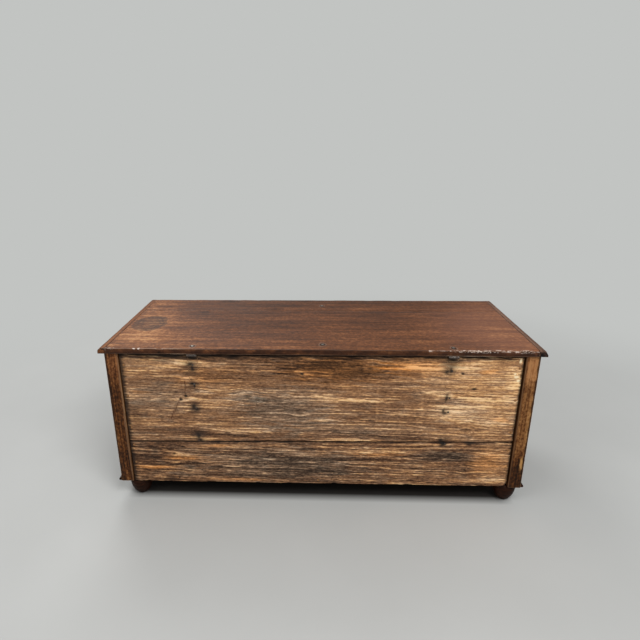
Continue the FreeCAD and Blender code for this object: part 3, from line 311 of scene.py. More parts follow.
def timber(name, section, axis, low, high, cuts):
    """A section, as points on the two other axes, extruded along an axis and cut across."""
    deselect()
    bpy.ops.mesh.primitive_circle_add(vertices=len(section), fill_type="NGON")
    piece = bpy.context.object
    piece.name = piece.data.name = name
    number = AXES.index(axis)
    set_points(piece, np.insert(np.array(section, float), number, low, axis=1))
    push = [0.0, 0.0, 0.0]
    push[number] = high - low
    bpy.ops.object.mode_set(mode="EDIT")
    bpy.ops.mesh.select_all(action="SELECT")
    bpy.ops.mesh.extrude_region_move(TRANSFORM_OT_translate={"value": push})
    outward()
    select_edges(piece, lambda edge: abs((edge.verts[0].co - edge.verts[1].co)[number]) > 1e-6)
    bpy.ops.mesh.subdivide(number_cuts=cuts)
    bpy.ops.object.mode_set(mode="OBJECT")
    return piece


def rectangle(low, high):
    """The four corners of a section from its lowest and its highest corner."""
    return [(low[0], low[1]), (high[0], low[1]), (high[0], high[1]), (low[0], high[1])]


def mirrored(sign, near, far):
    """A span along X from a near to a far place on the side of the sign, lowest first."""
    return sorted((sign * near, sign * far))


def slice_at(piece, axis, places):
    """Cut right round a piece at places along an axis, leaving it whole."""
    bpy.context.view_layer.objects.active = piece
    bpy.ops.object.mode_set(mode="EDIT")
    for place in places:
        spot_on, normal = [0.0, 0.0, 0.0], [0.0, 0.0, 0.0]
        spot_on[AXES.index(axis)], normal[AXES.index(axis)] = place, 1.0
        bpy.ops.mesh.select_all(action="SELECT")
        bpy.ops.mesh.bisect(plane_co=spot_on, plane_no=normal)
    bpy.ops.object.mode_set(mode="OBJECT")


def copy_of(node, name):
    """A whole copy of a solid from the construction model: points merged, flat faces joined."""
    piece = bpy.data.objects.new(name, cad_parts[node].data.copy())
    bpy.context.scene.collection.objects.link(piece)
    pick(piece)
    bpy.ops.object.mode_set(mode="EDIT")
    bpy.ops.mesh.select_all(action="SELECT")
    bpy.ops.mesh.remove_doubles(threshold=1e-5)
    bpy.ops.mesh.dissolve_limited(angle_limit=math.radians(0.5))
    outward()
    return piece


# %% Wear and finish
def weather(piece, face_depth, arris_depth, cell, seed):
    """Move the faces in and out a little, and wear the arrises back."""
    points = points_of(piece)
    normals = np.empty(len(points) * 3, np.float32)
    piece.data.vertices.foreach_get("normal", normals)
    on_arris = np.zeros(len(points))
    for face in piece.data.polygons:
        if face.material_index == 1:
            on_arris[list(face.vertices)] = 1
    push = face_depth * noise(points, cell, seed)
    push -= on_arris * arris_depth * np.clip(noise(points, np.array(cell) * 0.6, seed + 5), 0, 1)
    set_points(piece, points + normals.reshape(-1, 3) * push[:, None])


def age(piece, bevel_width, face_depth, arris_depth, cell, seed):
    """Bevel the sharp arrises, whose faces take the second material, then weather the piece."""
    bevel = piece.modifiers.new("eased arrises", "BEVEL")
    bevel.width = bevel_width
    bevel.segments = 2
    bevel.limit_method = "ANGLE"
    bevel.angle_limit = math.radians(32)
    bevel.material = 1
    piece.data.materials.clear()
    for _ in range(2):
        piece.data.materials.append(None)
    bpy.context.view_layer.objects.active = piece
    bpy.ops.object.modifier_apply(modifier=bevel.name)
    weather(piece, face_depth, arris_depth, cell, seed)


def finish_piece(piece, body, materials, slot, *nodes):
    """Give a piece its finishes, the body it rides on and the solids that it stands for."""
    for number, material in enumerate(materials):
        if number < len(piece.data.materials):
            piece.data.materials[number] = material
        else:
            piece.data.materials.append(material)
    pick(piece)
    bpy.ops.object.shade_smooth_by_angle(angle=math.radians(34))
    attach(piece, body)
    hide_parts(*nodes)


# %% [markdown]
# ## Wood as a finish
# Wood shows three things at once: broad bands where the saw crossed the growth rings, fine fibres
# and pores along the grain, and slow changes of tone from handling and light. Each is a noise
# stretched along the grain, with its size in metres. They are added up, a ramp turns the sum into
# colour, and the fibres also raise the surface by a fraction of a millimetre. Stains and rubbed
# places are soft spots; the coordinates they read are shaken first, so that their edges are ragged.

# %% Patterns in wood
def cells(tree, sizes, detail, distortion, seed, take=0):
    """Noise in object space whose cells have the given sizes in metres on x, y and z."""
    place = add(tree, "TexCoord", take="Object")
    scale = tuple(1 / size for size in sizes)
    shift = (seed * 3.7, seed * 5.3, seed * 7.1)
    place = add(tree, "Mapping", {"Vector": place, "Scale": scale, "Location": shift})
    return add(tree, "TexNoise", {"Vector": place, "Scale": 1.0, "Detail": detail,
                                  "Distortion": distortion, "Roughness": 0.55}, take)


def added_up(tree, *terms):
    """The sum of values, each times its weight."""
    total = 0.0
    for value, weight in terms:
        total = add(tree, "Math", {0: value, 1: weight, 2: total}, operation="MULTIPLY_ADD")
    return total


def shaken_place(tree, reach):
    """Object coordinates moved about by noise, up to the reach in metres on each axis."""
    push = cells(tree, (0.05, 0.03, 0.03), 4.0, 0.0, 2.0, "Color")
    push = add(tree, "VectorMath", {0: push, 1: (0.5, 0.5, 0.5)}, operation="SUBTRACT")
    push = add(tree, "VectorMath", {0: push, 1: reach}, operation="MULTIPLY")
    place = add(tree, "TexCoord", take="Object")
    return add(tree, "VectorMath", {0: place, 1: push})


def reaches_away(tree, place, centre, reach):
    """How many reaches a place is from a centre; a reach of None runs right through."""
    reach = tuple(1000.0 if size is None else size for size in reach)
    place = add(tree, "Mapping", {"Vector": place, "Location": centre, "Scale": reach},
                vector_type="TEXTURE")
    return add(tree, "VectorMath", {0: place}, "Value", operation="LENGTH")


def spot(tree, place, centre, reach, strength=1.0, core=0.3):
    """A soft spot round a centre."""
    away = reaches_away(tree, place, centre, reach)
    return add(tree, "MapRange", {0: away, 1: 1.0, 2: core, 3: 0.0, 4: strength},
               interpolation_type="SMOOTHSTEP")


# %% Wood
def wood(name, stops, grain, band=0.009, seed=0.0, gloss=(0.42, 0.62), relief=0.0004,
         contrast=(0.36, 0.86), zones=(), layers=(), hollow=False, over=None, specular=0.3,
         mottle=0.0):
    """A wood finish: zones shift its tone, layers lie over it as stains, hollows hold dirt."""
    material, tree, shader = finish_named(name)

    def along(length, width):
        return tuple(length if axis == grain else width for axis in AXES)

    bands = cells(tree, along(0.34, band), 2.5, 0.35, seed)
    fibres = cells(tree, along(0.045, 0.0016), 3.0, 0.0, seed + 3)
    slow = cells(tree, along(0.30, 0.09), 2.0, 0.6, seed + 6)
    pores = cells(tree, along(0.018, 0.0009), 1.0, 0.0, seed + 9)
    terms = [(bands, 0.56), (fibres, 0.28), (slow, 0.38)]
    if mottle:
        blotches = cells(tree, along(0.012, 0.009), 3.0, 0.4, seed + 11)
        terms += [(blotches, mottle), (1.0, -0.5 * mottle)]
    place = shaken_place(tree, along(0.05, 0.012)) if zones or layers else None
    for centre, reach, shift in zones:
        terms.append((spot(tree, place, centre, reach), shift))
    if hollow:
        depth = add(tree, "Attribute", take="Fac", attribute_name="hollow")
        terms.append((depth, -0.34))
    tone = added_up(tree, *terms)
    tone = add(tree, "MapRange", {0: tone, 1: contrast[0], 2: contrast[1]})
    colour = add(tree, "ValToRGB", {0: tone}, stops=stops)
    open_pores = add(tree, "MapRange", {0: pores, 1: 0.60, 2: 0.74, 4: 0.6})
    colour = add(tree, "Mix", {0: open_pores, 6: colour, 7: stops[0][1]}, 2, data_type="RGBA")
    for centre, reach, code, strength, blend in layers:
        mask = spot(tree, place, centre, reach, strength)
        colour = add(tree, "Mix", {0: mask, 6: colour, 7: code}, 2, data_type="RGBA",
                     blend_type=blend)
    if over:
        colour = over(tree, place, colour)
    shine = added_up(tree, (fibres, 0.7), (slow, 0.5))
    shine = add(tree, "MapRange", {0: shine, 1: 0.35, 2: 0.85, 3: gloss[0], 4: gloss[1]})
    height = added_up(tree, (fibres, 0.8), (pores, -0.5), (bands, 0.6))
    surface(tree, shader, colour, shine, height, relief)
    shader.inputs["IOR"].default_value = 1.5
    shader.inputs["Specular IOR Level"].default_value = specular
    return material


# %% [markdown]
# ## The woods of this chest
# The frame is oak, stained and waxed so often that it is nearly the brown of tobacco, and its
# arrises are rubbed paler. The inside never had a finish, so its wood is drier and greyer. The
# feet and the moulding at the base are almost black.

# %% Oak and pine finishes
OAK = [(0.0, "#251609"), (0.35, "#402614"), (0.62, "#5C3A20"), (1.0, "#7E5634")]
RUBBED_OAK = [(0.0, "#40291A"), (0.35, "#634226"), (0.65, "#7E5B3C"), (1.0, "#A07C56")]
DARK_OAK = [(0.0, "#120804"), (0.4, "#211008"), (0.7, "#331A0E"), (1.0, "#4A2A19")]
BARE_PINE = [(0.0, "#54402E"), (0.4, "#806347"), (0.7, "#9F805D"), (1.0, "#BF9F78")]

oak, rubbed_oak, dark_oak, bare_pine, carved_oak = ({} for _ in range(5))
for seed, grain in enumerate(AXES):
    oak[grain] = wood(f"waxed oak, grain along {grain}", OAK, grain, seed=seed, specular=0.15)
    rubbed_oak[grain] = wood(f"rubbed oak, grain along {grain}", RUBBED_OAK, grain, seed=seed,
                             gloss=(0.36, 0.5))
    dark_oak[grain] = wood(f"nearly black oak, grain along {grain}", DARK_OAK, grain,
                           seed=seed + 4, gloss=(0.42, 0.56), specular=0.07)
    bare_pine[grain] = wood(f"bare pine, grain along {grain}", BARE_PINE, grain, 0.012,
                            seed=seed + 8, gloss=(0.7, 0.88), relief=0.0003, specular=0.15)
    carved_oak[grain] = wood(f"carved oak, grain along {grain}", OAK, grain, seed=seed + 12,
                             gloss=(0.40, 0.66), contrast=(0.18, 0.80), hollow=True)
print("wood finishes", len(bpy.data.materials))

# %% [markdown]
# ## Blocks with a worked face
# The back boards are furrowed by weather and the front is carved, and both are the same job: a
# fine grid is laid over the outer face, every point is pushed in by a depth worked out from its
# place, and the border is then drawn back to a flat rear side, which closes the block. Values such
# as the depth of a hollow are kept on the points, for the finish to read.

# %% Faced block
def faced_block(name, x_span, z_edges, outside, inside, columns, rows, shape):
    """A block whose outer face is pushed in by shape(x, z), which gives depths and marks."""
    deselect()
    bpy.ops.mesh.primitive_grid_add(x_subdivisions=columns, y_subdivisions=rows, size=1)
    piece = bpy.context.object
    piece.name = piece.data.name = name
    share = points_of(piece)[:, :2] + 0.5
    x = x_span[0] + share[:, 0] * (x_span[1] - x_span[0])
    low, high = (edge(x) if callable(edge) else np.full_like(x, edge) for edge in z_edges)
    z = low + share[:, 1] * (high - low)
    border = np.minimum.reduce((x - x_span[0], x_span[1] - x, z - low, high - z))
    depth, marks = shape(x, z)
    depth = depth + 0.0018 * (1 - smooth(0, 0.0035, border))
    set_points(piece, np.stack((x, outside + math.copysign(1, inside - outside) * depth, z), 1))
    for mark, values in marks.items():
        kept = piece.data.attributes.new(mark, "FLOAT", "POINT")
        kept.data.foreach_set("value", np.asarray(values, np.float32))
    select_edges(piece, lambda edge: edge.is_boundary)
    bpy.ops.mesh.extrude_edges_move()
    bpy.ops.transform.resize(value=(1, 0, 1), center_override=(0, inside, 0))
    bpy.ops.mesh.edge_face_add()
    outward()
    for face in piece.data.polygons:  # the rear side takes the second material
        face.material_index = int(abs(face.center.y - inside) < 1e-5)
    print(name, len(piece.data.polygons), "faces")
    return piece


# %% [markdown]
# ## Rough pine for the back
# Nobody was meant to see the back, so it is softwood, sawn and left. Damp and brushing took the
# soft early wood away between the hard lines of late wood. The lines stand proud, honey coloured
# where they were rubbed, and the furrows between them hold grey dirt. The grain is worked out as
# one pattern, bent round each knot, and gives both the relief and the colour.

# %% Grain of the back boards
# The height of the seam at the left end, and its fall per metre
SEAM_LEFT, SEAM_FALL = 0.2841, 0.0125
# Knots as place along, height and radius, in metres
KNOTS = [(0.271, 0.468, 0.015), (0.071, 0.402, 0.013), (0.062, 0.566, 0.006),
         (-0.188, 0.589, 0.012), (-0.562, 0.338, 0.01), (0.506, 0.469, 0.005),
         (0.526, 0.454, 0.006), (-0.574, 0.158, 0.009), (0.51, 0.15, 0.01)]


def grain_lines(x, z, seed):
    """The late wood of a sawn board: 1 on a line, 0 in the furrows between."""
    flat = np.stack((x, z), axis=1)
    bend = 0.010 * noise(flat, (0.55, 0.16), seed) + 0.0022 * noise(flat, (0.15, 0.06), seed + 1)
    bend += 0.0010 * noise(flat, (0.034, 0.020), seed + 9)
    for along, height, radius in KNOTS:
        rise = z - height
        near = np.exp(-(((x - along) / (3.2 * radius)) ** 2) - (rise / (3.5 * radius)) ** 2)
        bend -= 1.1 * radius * np.tanh(rise / (1.2 * radius)) * near
    along = np.stack((x, z + bend), axis=1)
    kept = noise(flat, (0.16, 0.035), seed + 4) + 0.6 * noise(flat, (0.05, 0.006), seed + 5)
    kept += 0.7 * noise(flat, (0.018, 0.0045), seed + 8)
    proud, furrow = 0, 0
    for cell, width, share in ((0.0115, 0.21, 1.0), (0.0070, 0.22, 0.7)):
        ridge = np.abs(noise(along, (0.42, cell), seed + 2 + 100 * cell))
        proud = np.maximum(proud, share * np.clip(1 - ridge / width, 0, 1))
        hollow = np.abs(noise(along, (0.36, cell), seed + 6 + 100 * cell))
        furrow = np.maximum(furrow, share * np.clip(1 - hollow / width, 0, 1))
    proud *= 0.25 + 0.75 * smooth(-0.35, 0.35, kept)
    furrow *= 0.30 + 0.35 * smooth(0.40, -0.40, kept)
    return 0.4 + 0.6 * proud - 0.4 * furrow * (1 - proud)


def patches(x, z, seed, spots):
    """The strength of every soft patch of a list at each place."""
    flat = np.stack((x, z), axis=1)
    ragged = 0.22 * noise(flat, (0.045, 0.008), seed) + 0.18 * noise(flat, (0.016, 0.005), seed + 1)
    return [amount * (1 - smooth(0.25, 1.0, ragged + np.hypot((x - along) / wide, (z - up) / tall)))
            for along, up, wide, tall, amount in spots]


def seam_line(x):
    """The height where the two boards meet; the lower one was sawn from a tapering plank."""
    return SEAM_LEFT - SEAM_FALL * (x - BOARD_LEFT)


def board_shape(seed, tone, grey, warm, stain_and_shade):
    """The worked face of one back board, with the marks that its finish reads."""
    def shape(x, z):
        flat = np.stack((x, z), axis=1)
        lines = grain_lines(x, z, seed)
        kept = 1 - np.prod([1 - patch for patch in patches(x, z, seed + 20, stain_and_shade)], axis=0)
        # Painted shade along the seam: the wood beside the gap is darkened and joins the stains in
        # one mark
        from_seam = np.abs(z - seam_line(x)) + 0.0016 * noise(flat, (0.03, 0.01), seed + 30)
        dark = 0.86 + 0.12 * np.clip(noise(flat, (0.06, 1.0), seed + 31), -1, 1)
        kept = 1 - (1 - kept) * (1 - dark * (1 - smooth(0.0016, 0.0054, from_seam)))
        marks = {"late_wood": lines, "tone": sum(patches(x, z, seed + 10, tone)),
                 "grey": sum(patches(x, z, seed + 13, grey)),
                 "warm": sum(patches(x, z, seed + 16, warm)), "stain_and_shade": kept}
        sawn = 0.0004 * (1 + noise(flat, (0.12, 0.03), seed + 5))
        return 0.0011 * (1 - lines) + sawn + 0.0015 * smooth(0.75, 0.9, kept), marks
    return shape


# %% [markdown]
# The two boards meet in a torn seam, thicker at one end, where the wood shrank apart. The upper
# one is notched for the hinges, and the lower one has a worn lower edge and a rounded corner.
# Then come the patches: painted shade in a band under the lid and in narrow bands against the
# posts, stains where iron nails met damp wood, knots, and one pale patch near the end. Each is
# written as place along, height, reach along, reach up and amount.

# %% Edges of the boards
HALF_GAP, NOTCH, ROUNDED = 0.0019, 0.012, 0.016


def seam(x, seed):
    flat = np.stack((x, np.full_like(x, seed)), axis=1)
    torn = np.clip(noise(flat, (0.07, 1.0), seed) - 0.25, 0, 1)
    return 0.0008 * noise(flat, (0.011, 1.0), seed + 1) + 0.0050 * torn


def upper_board_low(x):
    return seam_line(x) + HALF_GAP + 0.9 * seam(x, 2)


def upper_board_high(x):
    notch = np.zeros_like(x)
    for centre in HINGES:
        notch = np.maximum(notch, 1 - smooth(0.0178, 0.0200, np.abs(x - centre)))
    return CASE_TOP - NOTCH * notch


def lower_board_low(x):
    flat = np.stack((x, np.zeros_like(x)), axis=1)
    within = np.clip((BOARD_LEFT + ROUNDED - x) / ROUNDED, 0, 1)
    corner = ROUNDED * (1 - np.sqrt(1 - within**2))
    chips = np.clip(noise(flat, (0.022, 1.0), 14) - 0.35, 0, 1)
    waves = 0.0014 * noise(flat, (0.05, 1.0), 12) + 0.0010 * noise(flat, (0.011, 1.0), 13)
    worn = 0.0015 + waves + 0.006 * chips + 0.003 * smooth(0.2, -0.65, x)
    return CASE_LOW + worn + corner


def lower_board_high(x):
    return seam_line(x) - HALF_GAP - 0.9 * seam(x, 4) - 0.006 * smooth(-0.728, -0.7435, x)


# %% Patches on the upper board
upper_tone = [
    (-0.62, 0.56, 0.3, 0.14, 0.22), (-0.6, 0.4, 0.26, 0.12, 0.24), (-0.4, 0.6, 0.12, 0.06, 0.12),
    (0.66, 0.6, 0.18, 0.06, 0.1), (0.6, 0.44, 0.22, 0.18, -0.03), (-0.04, 0.6, 0.28, 0.09, -0.26),
    (0.16, 0.4, 0.24, 0.11, -0.1), (-0.3, 0.44, 0.14, 0.2, -0.05), (0.22, 0.58, 0.2, 0.07, -0.1),
    (0.0, 0.305, 0.8, 0.03, -0.12), (-0.625, 0.581, 0.05, 0.012, 0.2),
    (-0.601, 0.466, 0.06, 0.014, 0.2), (-0.684, 0.383, 0.05, 0.014, 0.2),
    (0.595, 0.577, 0.06, 0.014, 0.14), (-0.715, 0.54, 0.05, 0.1, 0.14),
    (-0.722, 0.561, 0.009, 0.006, 0.6), (-0.731, 0.549, 0.008, 0.005, 0.6),
    (-0.726, 0.571, 0.005, 0.004, 0.5), (-0.733, 0.56, 0.006, 0.005, 0.6),
    (-0.732, 0.622, 0.005, 0.012, 0.4), (-0.222, 0.44, 0.004, 0.17, 0.18),
    (-0.389, 0.45, 0.004, 0.18, 0.14),
]
upper_grey = [
    (0.12, 0.42, 0.28, 0.12, 0.5), (0.62, 0.46, 0.2, 0.08, 0.35), (0.27, 0.47, 0.1, 0.045, 0.4),
    (-0.52, 0.42, 0.14, 0.06, 0.25), (0.241, 0.455, 0.05, 0.02, 0.4),
    (0.7, 0.436, 0.05, 0.02, 0.3), (0.45, 0.487, 0.05, 0.02, 0.4), (0.0, 0.645, 1.2, 0.02, 0.1),
    (-0.1, 0.33, 0.5, 0.05, 0.25),
]
upper_warm = [
    (-0.06, 0.59, 0.3, 0.09, 0.75), (-0.36, 0.6, 0.18, 0.06, 0.5), (0.42, 0.55, 0.2, 0.06, 0.35),
    (-0.625, 0.581, 0.06, 0.014, 0.5), (-0.684, 0.383, 0.06, 0.016, 0.4),
    (0.681, 0.484, 0.06, 0.014, 0.4),
]
upper_stain_and_shade = [
    # Painted shade: the first two are bands under the lid, the next two narrow bands against the
    # posts
    (0.5, 0.646, 0.34, 0.046, 0.92), (0.0, 0.65, 3.0, 0.031, 0.98),
    (0.746, 0.46, 0.022, 2.0, 0.85), (-0.745, 0.46, 0.012, 2.0, 0.85),
    (0.48, 0.598, 0.05, 0.034, 0.45), (0.477, 0.566, 0.04, 0.02, 0.4),
    (0.474, 0.52, 0.036, 0.03, 0.4), (0.476, 0.42, 0.038, 0.04, 0.5),
    (0.468, 0.3, 0.044, 0.034, 0.5), (-0.476, 0.583, 0.036, 0.028, 0.4),
    (-0.488, 0.615, 0.06, 0.034, 0.5), (-0.479, 0.473, 0.024, 0.026, 0.3),
    (-0.476, 0.414, 0.024, 0.024, 0.3), (-0.48, 0.292, 0.032, 0.02, 0.4),
    (0.271, 0.468, 0.017, 0.011, 0.55), (0.071, 0.402, 0.02, 0.014, 0.6),
    (0.062, 0.566, 0.01, 0.007, 0.85), (-0.188, 0.589, 0.014, 0.013, 0.55),
    (-0.562, 0.338, 0.014, 0.012, 0.55), (-0.547, 0.337, 0.01, 0.01, 0.4),
    (-0.574, 0.511, 0.011, 0.006, 0.8), (-0.528, 0.572, 0.009, 0.006, 0.7),
    (0.506, 0.469, 0.008, 0.009, 0.85), (0.526, 0.454, 0.011, 0.008, 0.8),
    (0.506, 0.51, 0.004, 0.034, 0.5), (0.548, 0.415, 0.01, 0.03, 0.3),
    (-0.738, 0.566, 0.008, 0.005, 0.9), (0.708, 0.384, 0.03, 0.06, 0.3),
]

# %% Patches on the lower board
lower_tone = [
    (0.0, 0.18, 2.0, 0.3, -0.17), (0.6, 0.2, 0.24, 0.07, -0.08), (0.66, 0.147, 0.11, 0.014, 0.34),
    (0.54, 0.192, 0.12, 0.014, 0.3), (0.4, 0.25, 0.17, 0.012, 0.24), (0.1, 0.16, 0.34, 0.08, -0.1),
    (-0.24, 0.235, 0.26, 0.02, 0.28), (-0.68, 0.19, 0.11, 0.1, 0.28),
    (-0.5, 0.218, 0.16, 0.03, -0.12), (-0.6, 0.107, 0.24, 0.02, 0.3),
    (0.62, 0.105, 0.16, 0.03, -0.14), (0.315, 0.093, 0.14, 0.012, 0.2),
    (-0.3, 0.13, 0.22, 0.02, 0.14), (0.27, 0.21, 0.1, 0.012, 0.16),
    (-0.3, 0.084, 0.6, 0.008, 0.26), (0.45, 0.083, 0.3, 0.007, 0.16),
]
lower_grey = [
    (0.15, 0.17, 0.46, 0.11, 0.5), (-0.5, 0.218, 0.18, 0.035, 0.5),
    (0.558, 0.121, 0.07, 0.016, 0.5), (0.51, 0.15, 0.03, 0.016, 0.6),
    (0.65, 0.223, 0.03, 0.03, 0.4),
]
lower_warm = [
    (0.66, 0.147, 0.12, 0.014, 0.8), (0.54, 0.192, 0.13, 0.014, 0.8),
    (-0.66, 0.19, 0.12, 0.08, 0.5), (0.32, 0.096, 0.15, 0.012, 0.6), (0.407, 0.25, 0.1, 0.01, 0.6),
    (-0.241, 0.221, 0.14, 0.01, 0.6),
]
lower_stain_and_shade = [
    # Painted shade: the first two are narrow bands against the posts
    (0.746, 0.18, 0.022, 2.0, 0.85), (-0.745, 0.18, 0.012, 2.0, 0.8),
    (0.51, 0.15, 0.022, 0.012, 0.5), (0.65, 0.222, 0.016, 0.022, 0.45),
    (0.535, 0.245, 0.012, 0.005, 0.9), (0.574, 0.212, 0.008, 0.007, 0.85),
    (-0.581, 0.272, 0.012, 0.008, 0.8), (-0.574, 0.158, 0.011, 0.011, 0.7),
    (-0.48, 0.276, 0.02, 0.013, 0.85), (0.39, 0.272, 0.014, 0.004, 0.9),
    (0.323, 0.273, 0.01, 0.004, 0.9), (-0.047, 0.124, 0.02, 0.008, 0.5),
    (0.601, 0.096, 0.03, 0.01, 0.5), (0.468, 0.275, 0.022, 0.01, 0.6),
]

# %% [markdown]
# The finish reads those marks. The tone runs from the dark of a furrow to the honey of a rubbed
# line; greying and warming change only the hue, and the mark of stains and painted shade covers
# all with a brown-black. Fibres finer than the mesh come as bump. Old nail holes are narrower than
# the mesh too, so the finish draws them itself, as small ragged spots of the blue-black that iron
# makes in damp wood, and with them painted shadow round the two hinge knuckles.

# %% Weathered pine finish
# Nail holes and splits, scratches, halos round nails and pale chips, all as place along, height,
# reach along and reach up, in metres. The nail holes also hold painted shadow round the two hinge
# knuckles, at a height of 0.628.
INK_AND_KNUCKLE_SHADOW = [(-0.483, 0.585, 0.008, 0.016), (-0.47, 0.579, 0.011, 0.01), (-0.479, 0.473, 0.006, 0.021),
       (-0.472, 0.416, 0.006, 0.017), (-0.478, 0.407, 0.009, 0.007),
       (-0.574, 0.511, 0.011, 0.0045), (-0.528, 0.572, 0.008, 0.004), (-0.47, 0.291, 0.015, 0.011),
       (-0.48, 0.277, 0.01, 0.019), (-0.488, 0.628, 0.026, 0.012), (0.469, 0.628, 0.026, 0.01),
       (0.482, 0.6, 0.014, 0.008), (0.474, 0.585, 0.007, 0.014), (0.478, 0.521, 0.012, 0.007),
       (0.47, 0.512, 0.006, 0.013), (0.478, 0.424, 0.01, 0.015), (0.468, 0.412, 0.012, 0.008),
       (0.468, 0.292, 0.009, 0.017), (0.462, 0.278, 0.016, 0.008), (0.39, 0.27, 0.022, 0.006),
       (0.323, 0.271, 0.016, 0.006), (-0.581, 0.28, 0.02, 0.008), (0.12, 0.273, 0.03, 0.005),
       (0.24, 0.272, 0.018, 0.005), (0.062, 0.566, 0.008, 0.006), (0.506, 0.469, 0.008, 0.007),
       (0.526, 0.454, 0.009, 0.007)]
SCRATCHES = [(0.505, 0.522, 0.0032, 0.028), (0.507, 0.485, 0.0032, 0.028)]
SCRATCHES += [(0.529 + 0.041 * part, 0.456 - 0.083 * part, 0.0040, 0.013)
              for part in np.linspace(0, 1, 8)]
HALOS = [(0.474, 0.6, 0.04, 0.034), (0.47, 0.515, 0.034, 0.034), (0.472, 0.416, 0.034, 0.044),
         (0.466, 0.296, 0.06, 0.034), (-0.476, 0.6, 0.046, 0.05), (0.592, 0.52, 0.05, 0.02),
         (0.59, 0.45, 0.04, 0.02), (0.674, 0.392, 0.03, 0.03)]
PALE = [(-0.722, 0.561, 0.011, 0.008), (-0.733, 0.546, 0.009, 0.007),
        (-0.716, 0.573, 0.006, 0.005), (-0.731, 0.624, 0.006, 0.014)]


def weathered_pine(name, seed, darkest, palest):
    """The finish of a back board; its tone runs between the darkest and the palest sum."""
    material, tree, shader = finish_named(name)
    marks = {mark: add(tree, "Attribute", take="Fac", attribute_name=mark)
             for mark in ("late_wood", "tone", "grey", "warm", "stain_and_shade")}
    fibres = cells(tree, (0.022, 0.003, 0.0014), 3.0, 0.0, seed)
    streaks = cells(tree, (0.14, 0.01, 0.0040), 3.0, 0.2, seed + 2)
    checks = cells(tree, (0.0022, 0.003, 0.011), 3.0, 0.4, seed + 6)
    flecks = cells(tree, (0.013, 0.004, 0.0040), 3.0, 0.3, seed + 10)
    slow = cells(tree, (0.20, 0.10, 0.045), 4.0, 0.6, seed + 4)
    tone = added_up(tree, (marks["late_wood"], 0.78), (fibres, 0.40), (streaks, 0.50),
                    (checks, 0.24), (flecks, 0.78), (slow, 0.34), (marks["tone"], 0.9),
                    (1.0, -0.36))
    tone = add(tree, "MapRange", {0: tone, 1: darkest, 2: palest})
    colour = add(tree, "ValToRGB", {0: tone}, stops=[
        (0.0, "#2A190E"), (0.20, "#4B3220"), (0.42, "#78553B"), (0.62, "#9D734E"),
        (0.82, "#CF9D69"), (1.0, "#EFC892")])
    cloudy = cells(tree, (0.10, 0.05, 0.022), 4.0, 0.9, seed + 8)
    cloudy = add(tree, "MapRange", {0: cloudy, 1: 0.46, 2: 0.70, 4: 0.36})
    greyed = added_up(tree, (marks["grey"], 0.85), (cloudy, 1.0))
    # The last mix lays down the stains together with painted shade under the lid, against the posts
    # and along the seam
    for mask, code, blend in ((greyed, "#857462", "COLOR"), (marks["warm"], "#96602F", "COLOR"),
                              (marks["stain_and_shade"], "#170F0A", "MIX")):
        colour = add(tree, "Mix", {0: mask, 6: colour, 7: code}, 2, data_type="RGBA",
                     blend_type=blend)
    place = shaken_place(tree, (0.016, 0.0, 0.012))
    # Scratches, halos, nail holes together with painted shadow round the hinge knuckles, and pale
    # chips
    for marked, grown, strength, core, code in ((SCRATCHES, 0.9, 0.62, 0.3, "#4A2314"),
                                                (HALOS, 1.0, 0.42, 0.0, "#2E2B29"),
                                                (INK_AND_KNUCKLE_SHADOW, 1.4, 0.92, 0.0, "#171614"),
                                                (PALE, 1.0, 0.90, 0.3, "#EFDDB6")):
        inked = 0.0
        for along, up, wide, tall in marked:
            reach = (wide * grown, None, tall * grown)
            mark = spot(tree, place, (along, BOARD_FACE, up), reach, strength, core)
            inked = add(tree, "Math", {0: inked, 1: mark}, operation="MAXIMUM")
        colour = add(tree, "Mix", {0: inked, 6: colour, 7: code}, 2, data_type="RGBA")
    shine = added_up(tree, (marks["late_wood"], 0.6), (fibres, 0.5))
    shine = add(tree, "MapRange", {0: shine, 1: 0.2, 2: 0.9, 3: 0.92, 4: 0.66})
    height = added_up(tree, (fibres, 1.0), (streaks, 0.7), (checks, 0.4))
    surface(tree, shader, colour, shine, height, 0.0009)
    shader.inputs["Specular IOR Level"].default_value = 0.2
    return material


# %% Back boards
upper_shape = board_shape(3, upper_tone, upper_grey, upper_warm, upper_stain_and_shade)
lower_shape = board_shape(9, lower_tone, lower_grey, lower_warm, lower_stain_and_shade)
for name, edges, rows, shape, seed, *span in (
        ("upper", (upper_board_low, upper_board_high), 190, upper_shape, 1.0, 0.65, 1.58),
        ("lower", (lower_board_low, lower_board_high), 106, lower_shape, 5.0, 0.67, 1.52)):
    board = faced_block(f"{name}_back_board_sawn", (BOARD_LEFT, BOARD_RIGHT), edges, BOARD_FACE,
                        BOARD_INSIDE, 330, rows, shape)
    finish = weathered_pine(f"brushed pine, {name} board", seed, *span)
    finish_piece(board, "case", [finish, bare_pine["x"]], "weathered_pine", f"{name}_back_board")
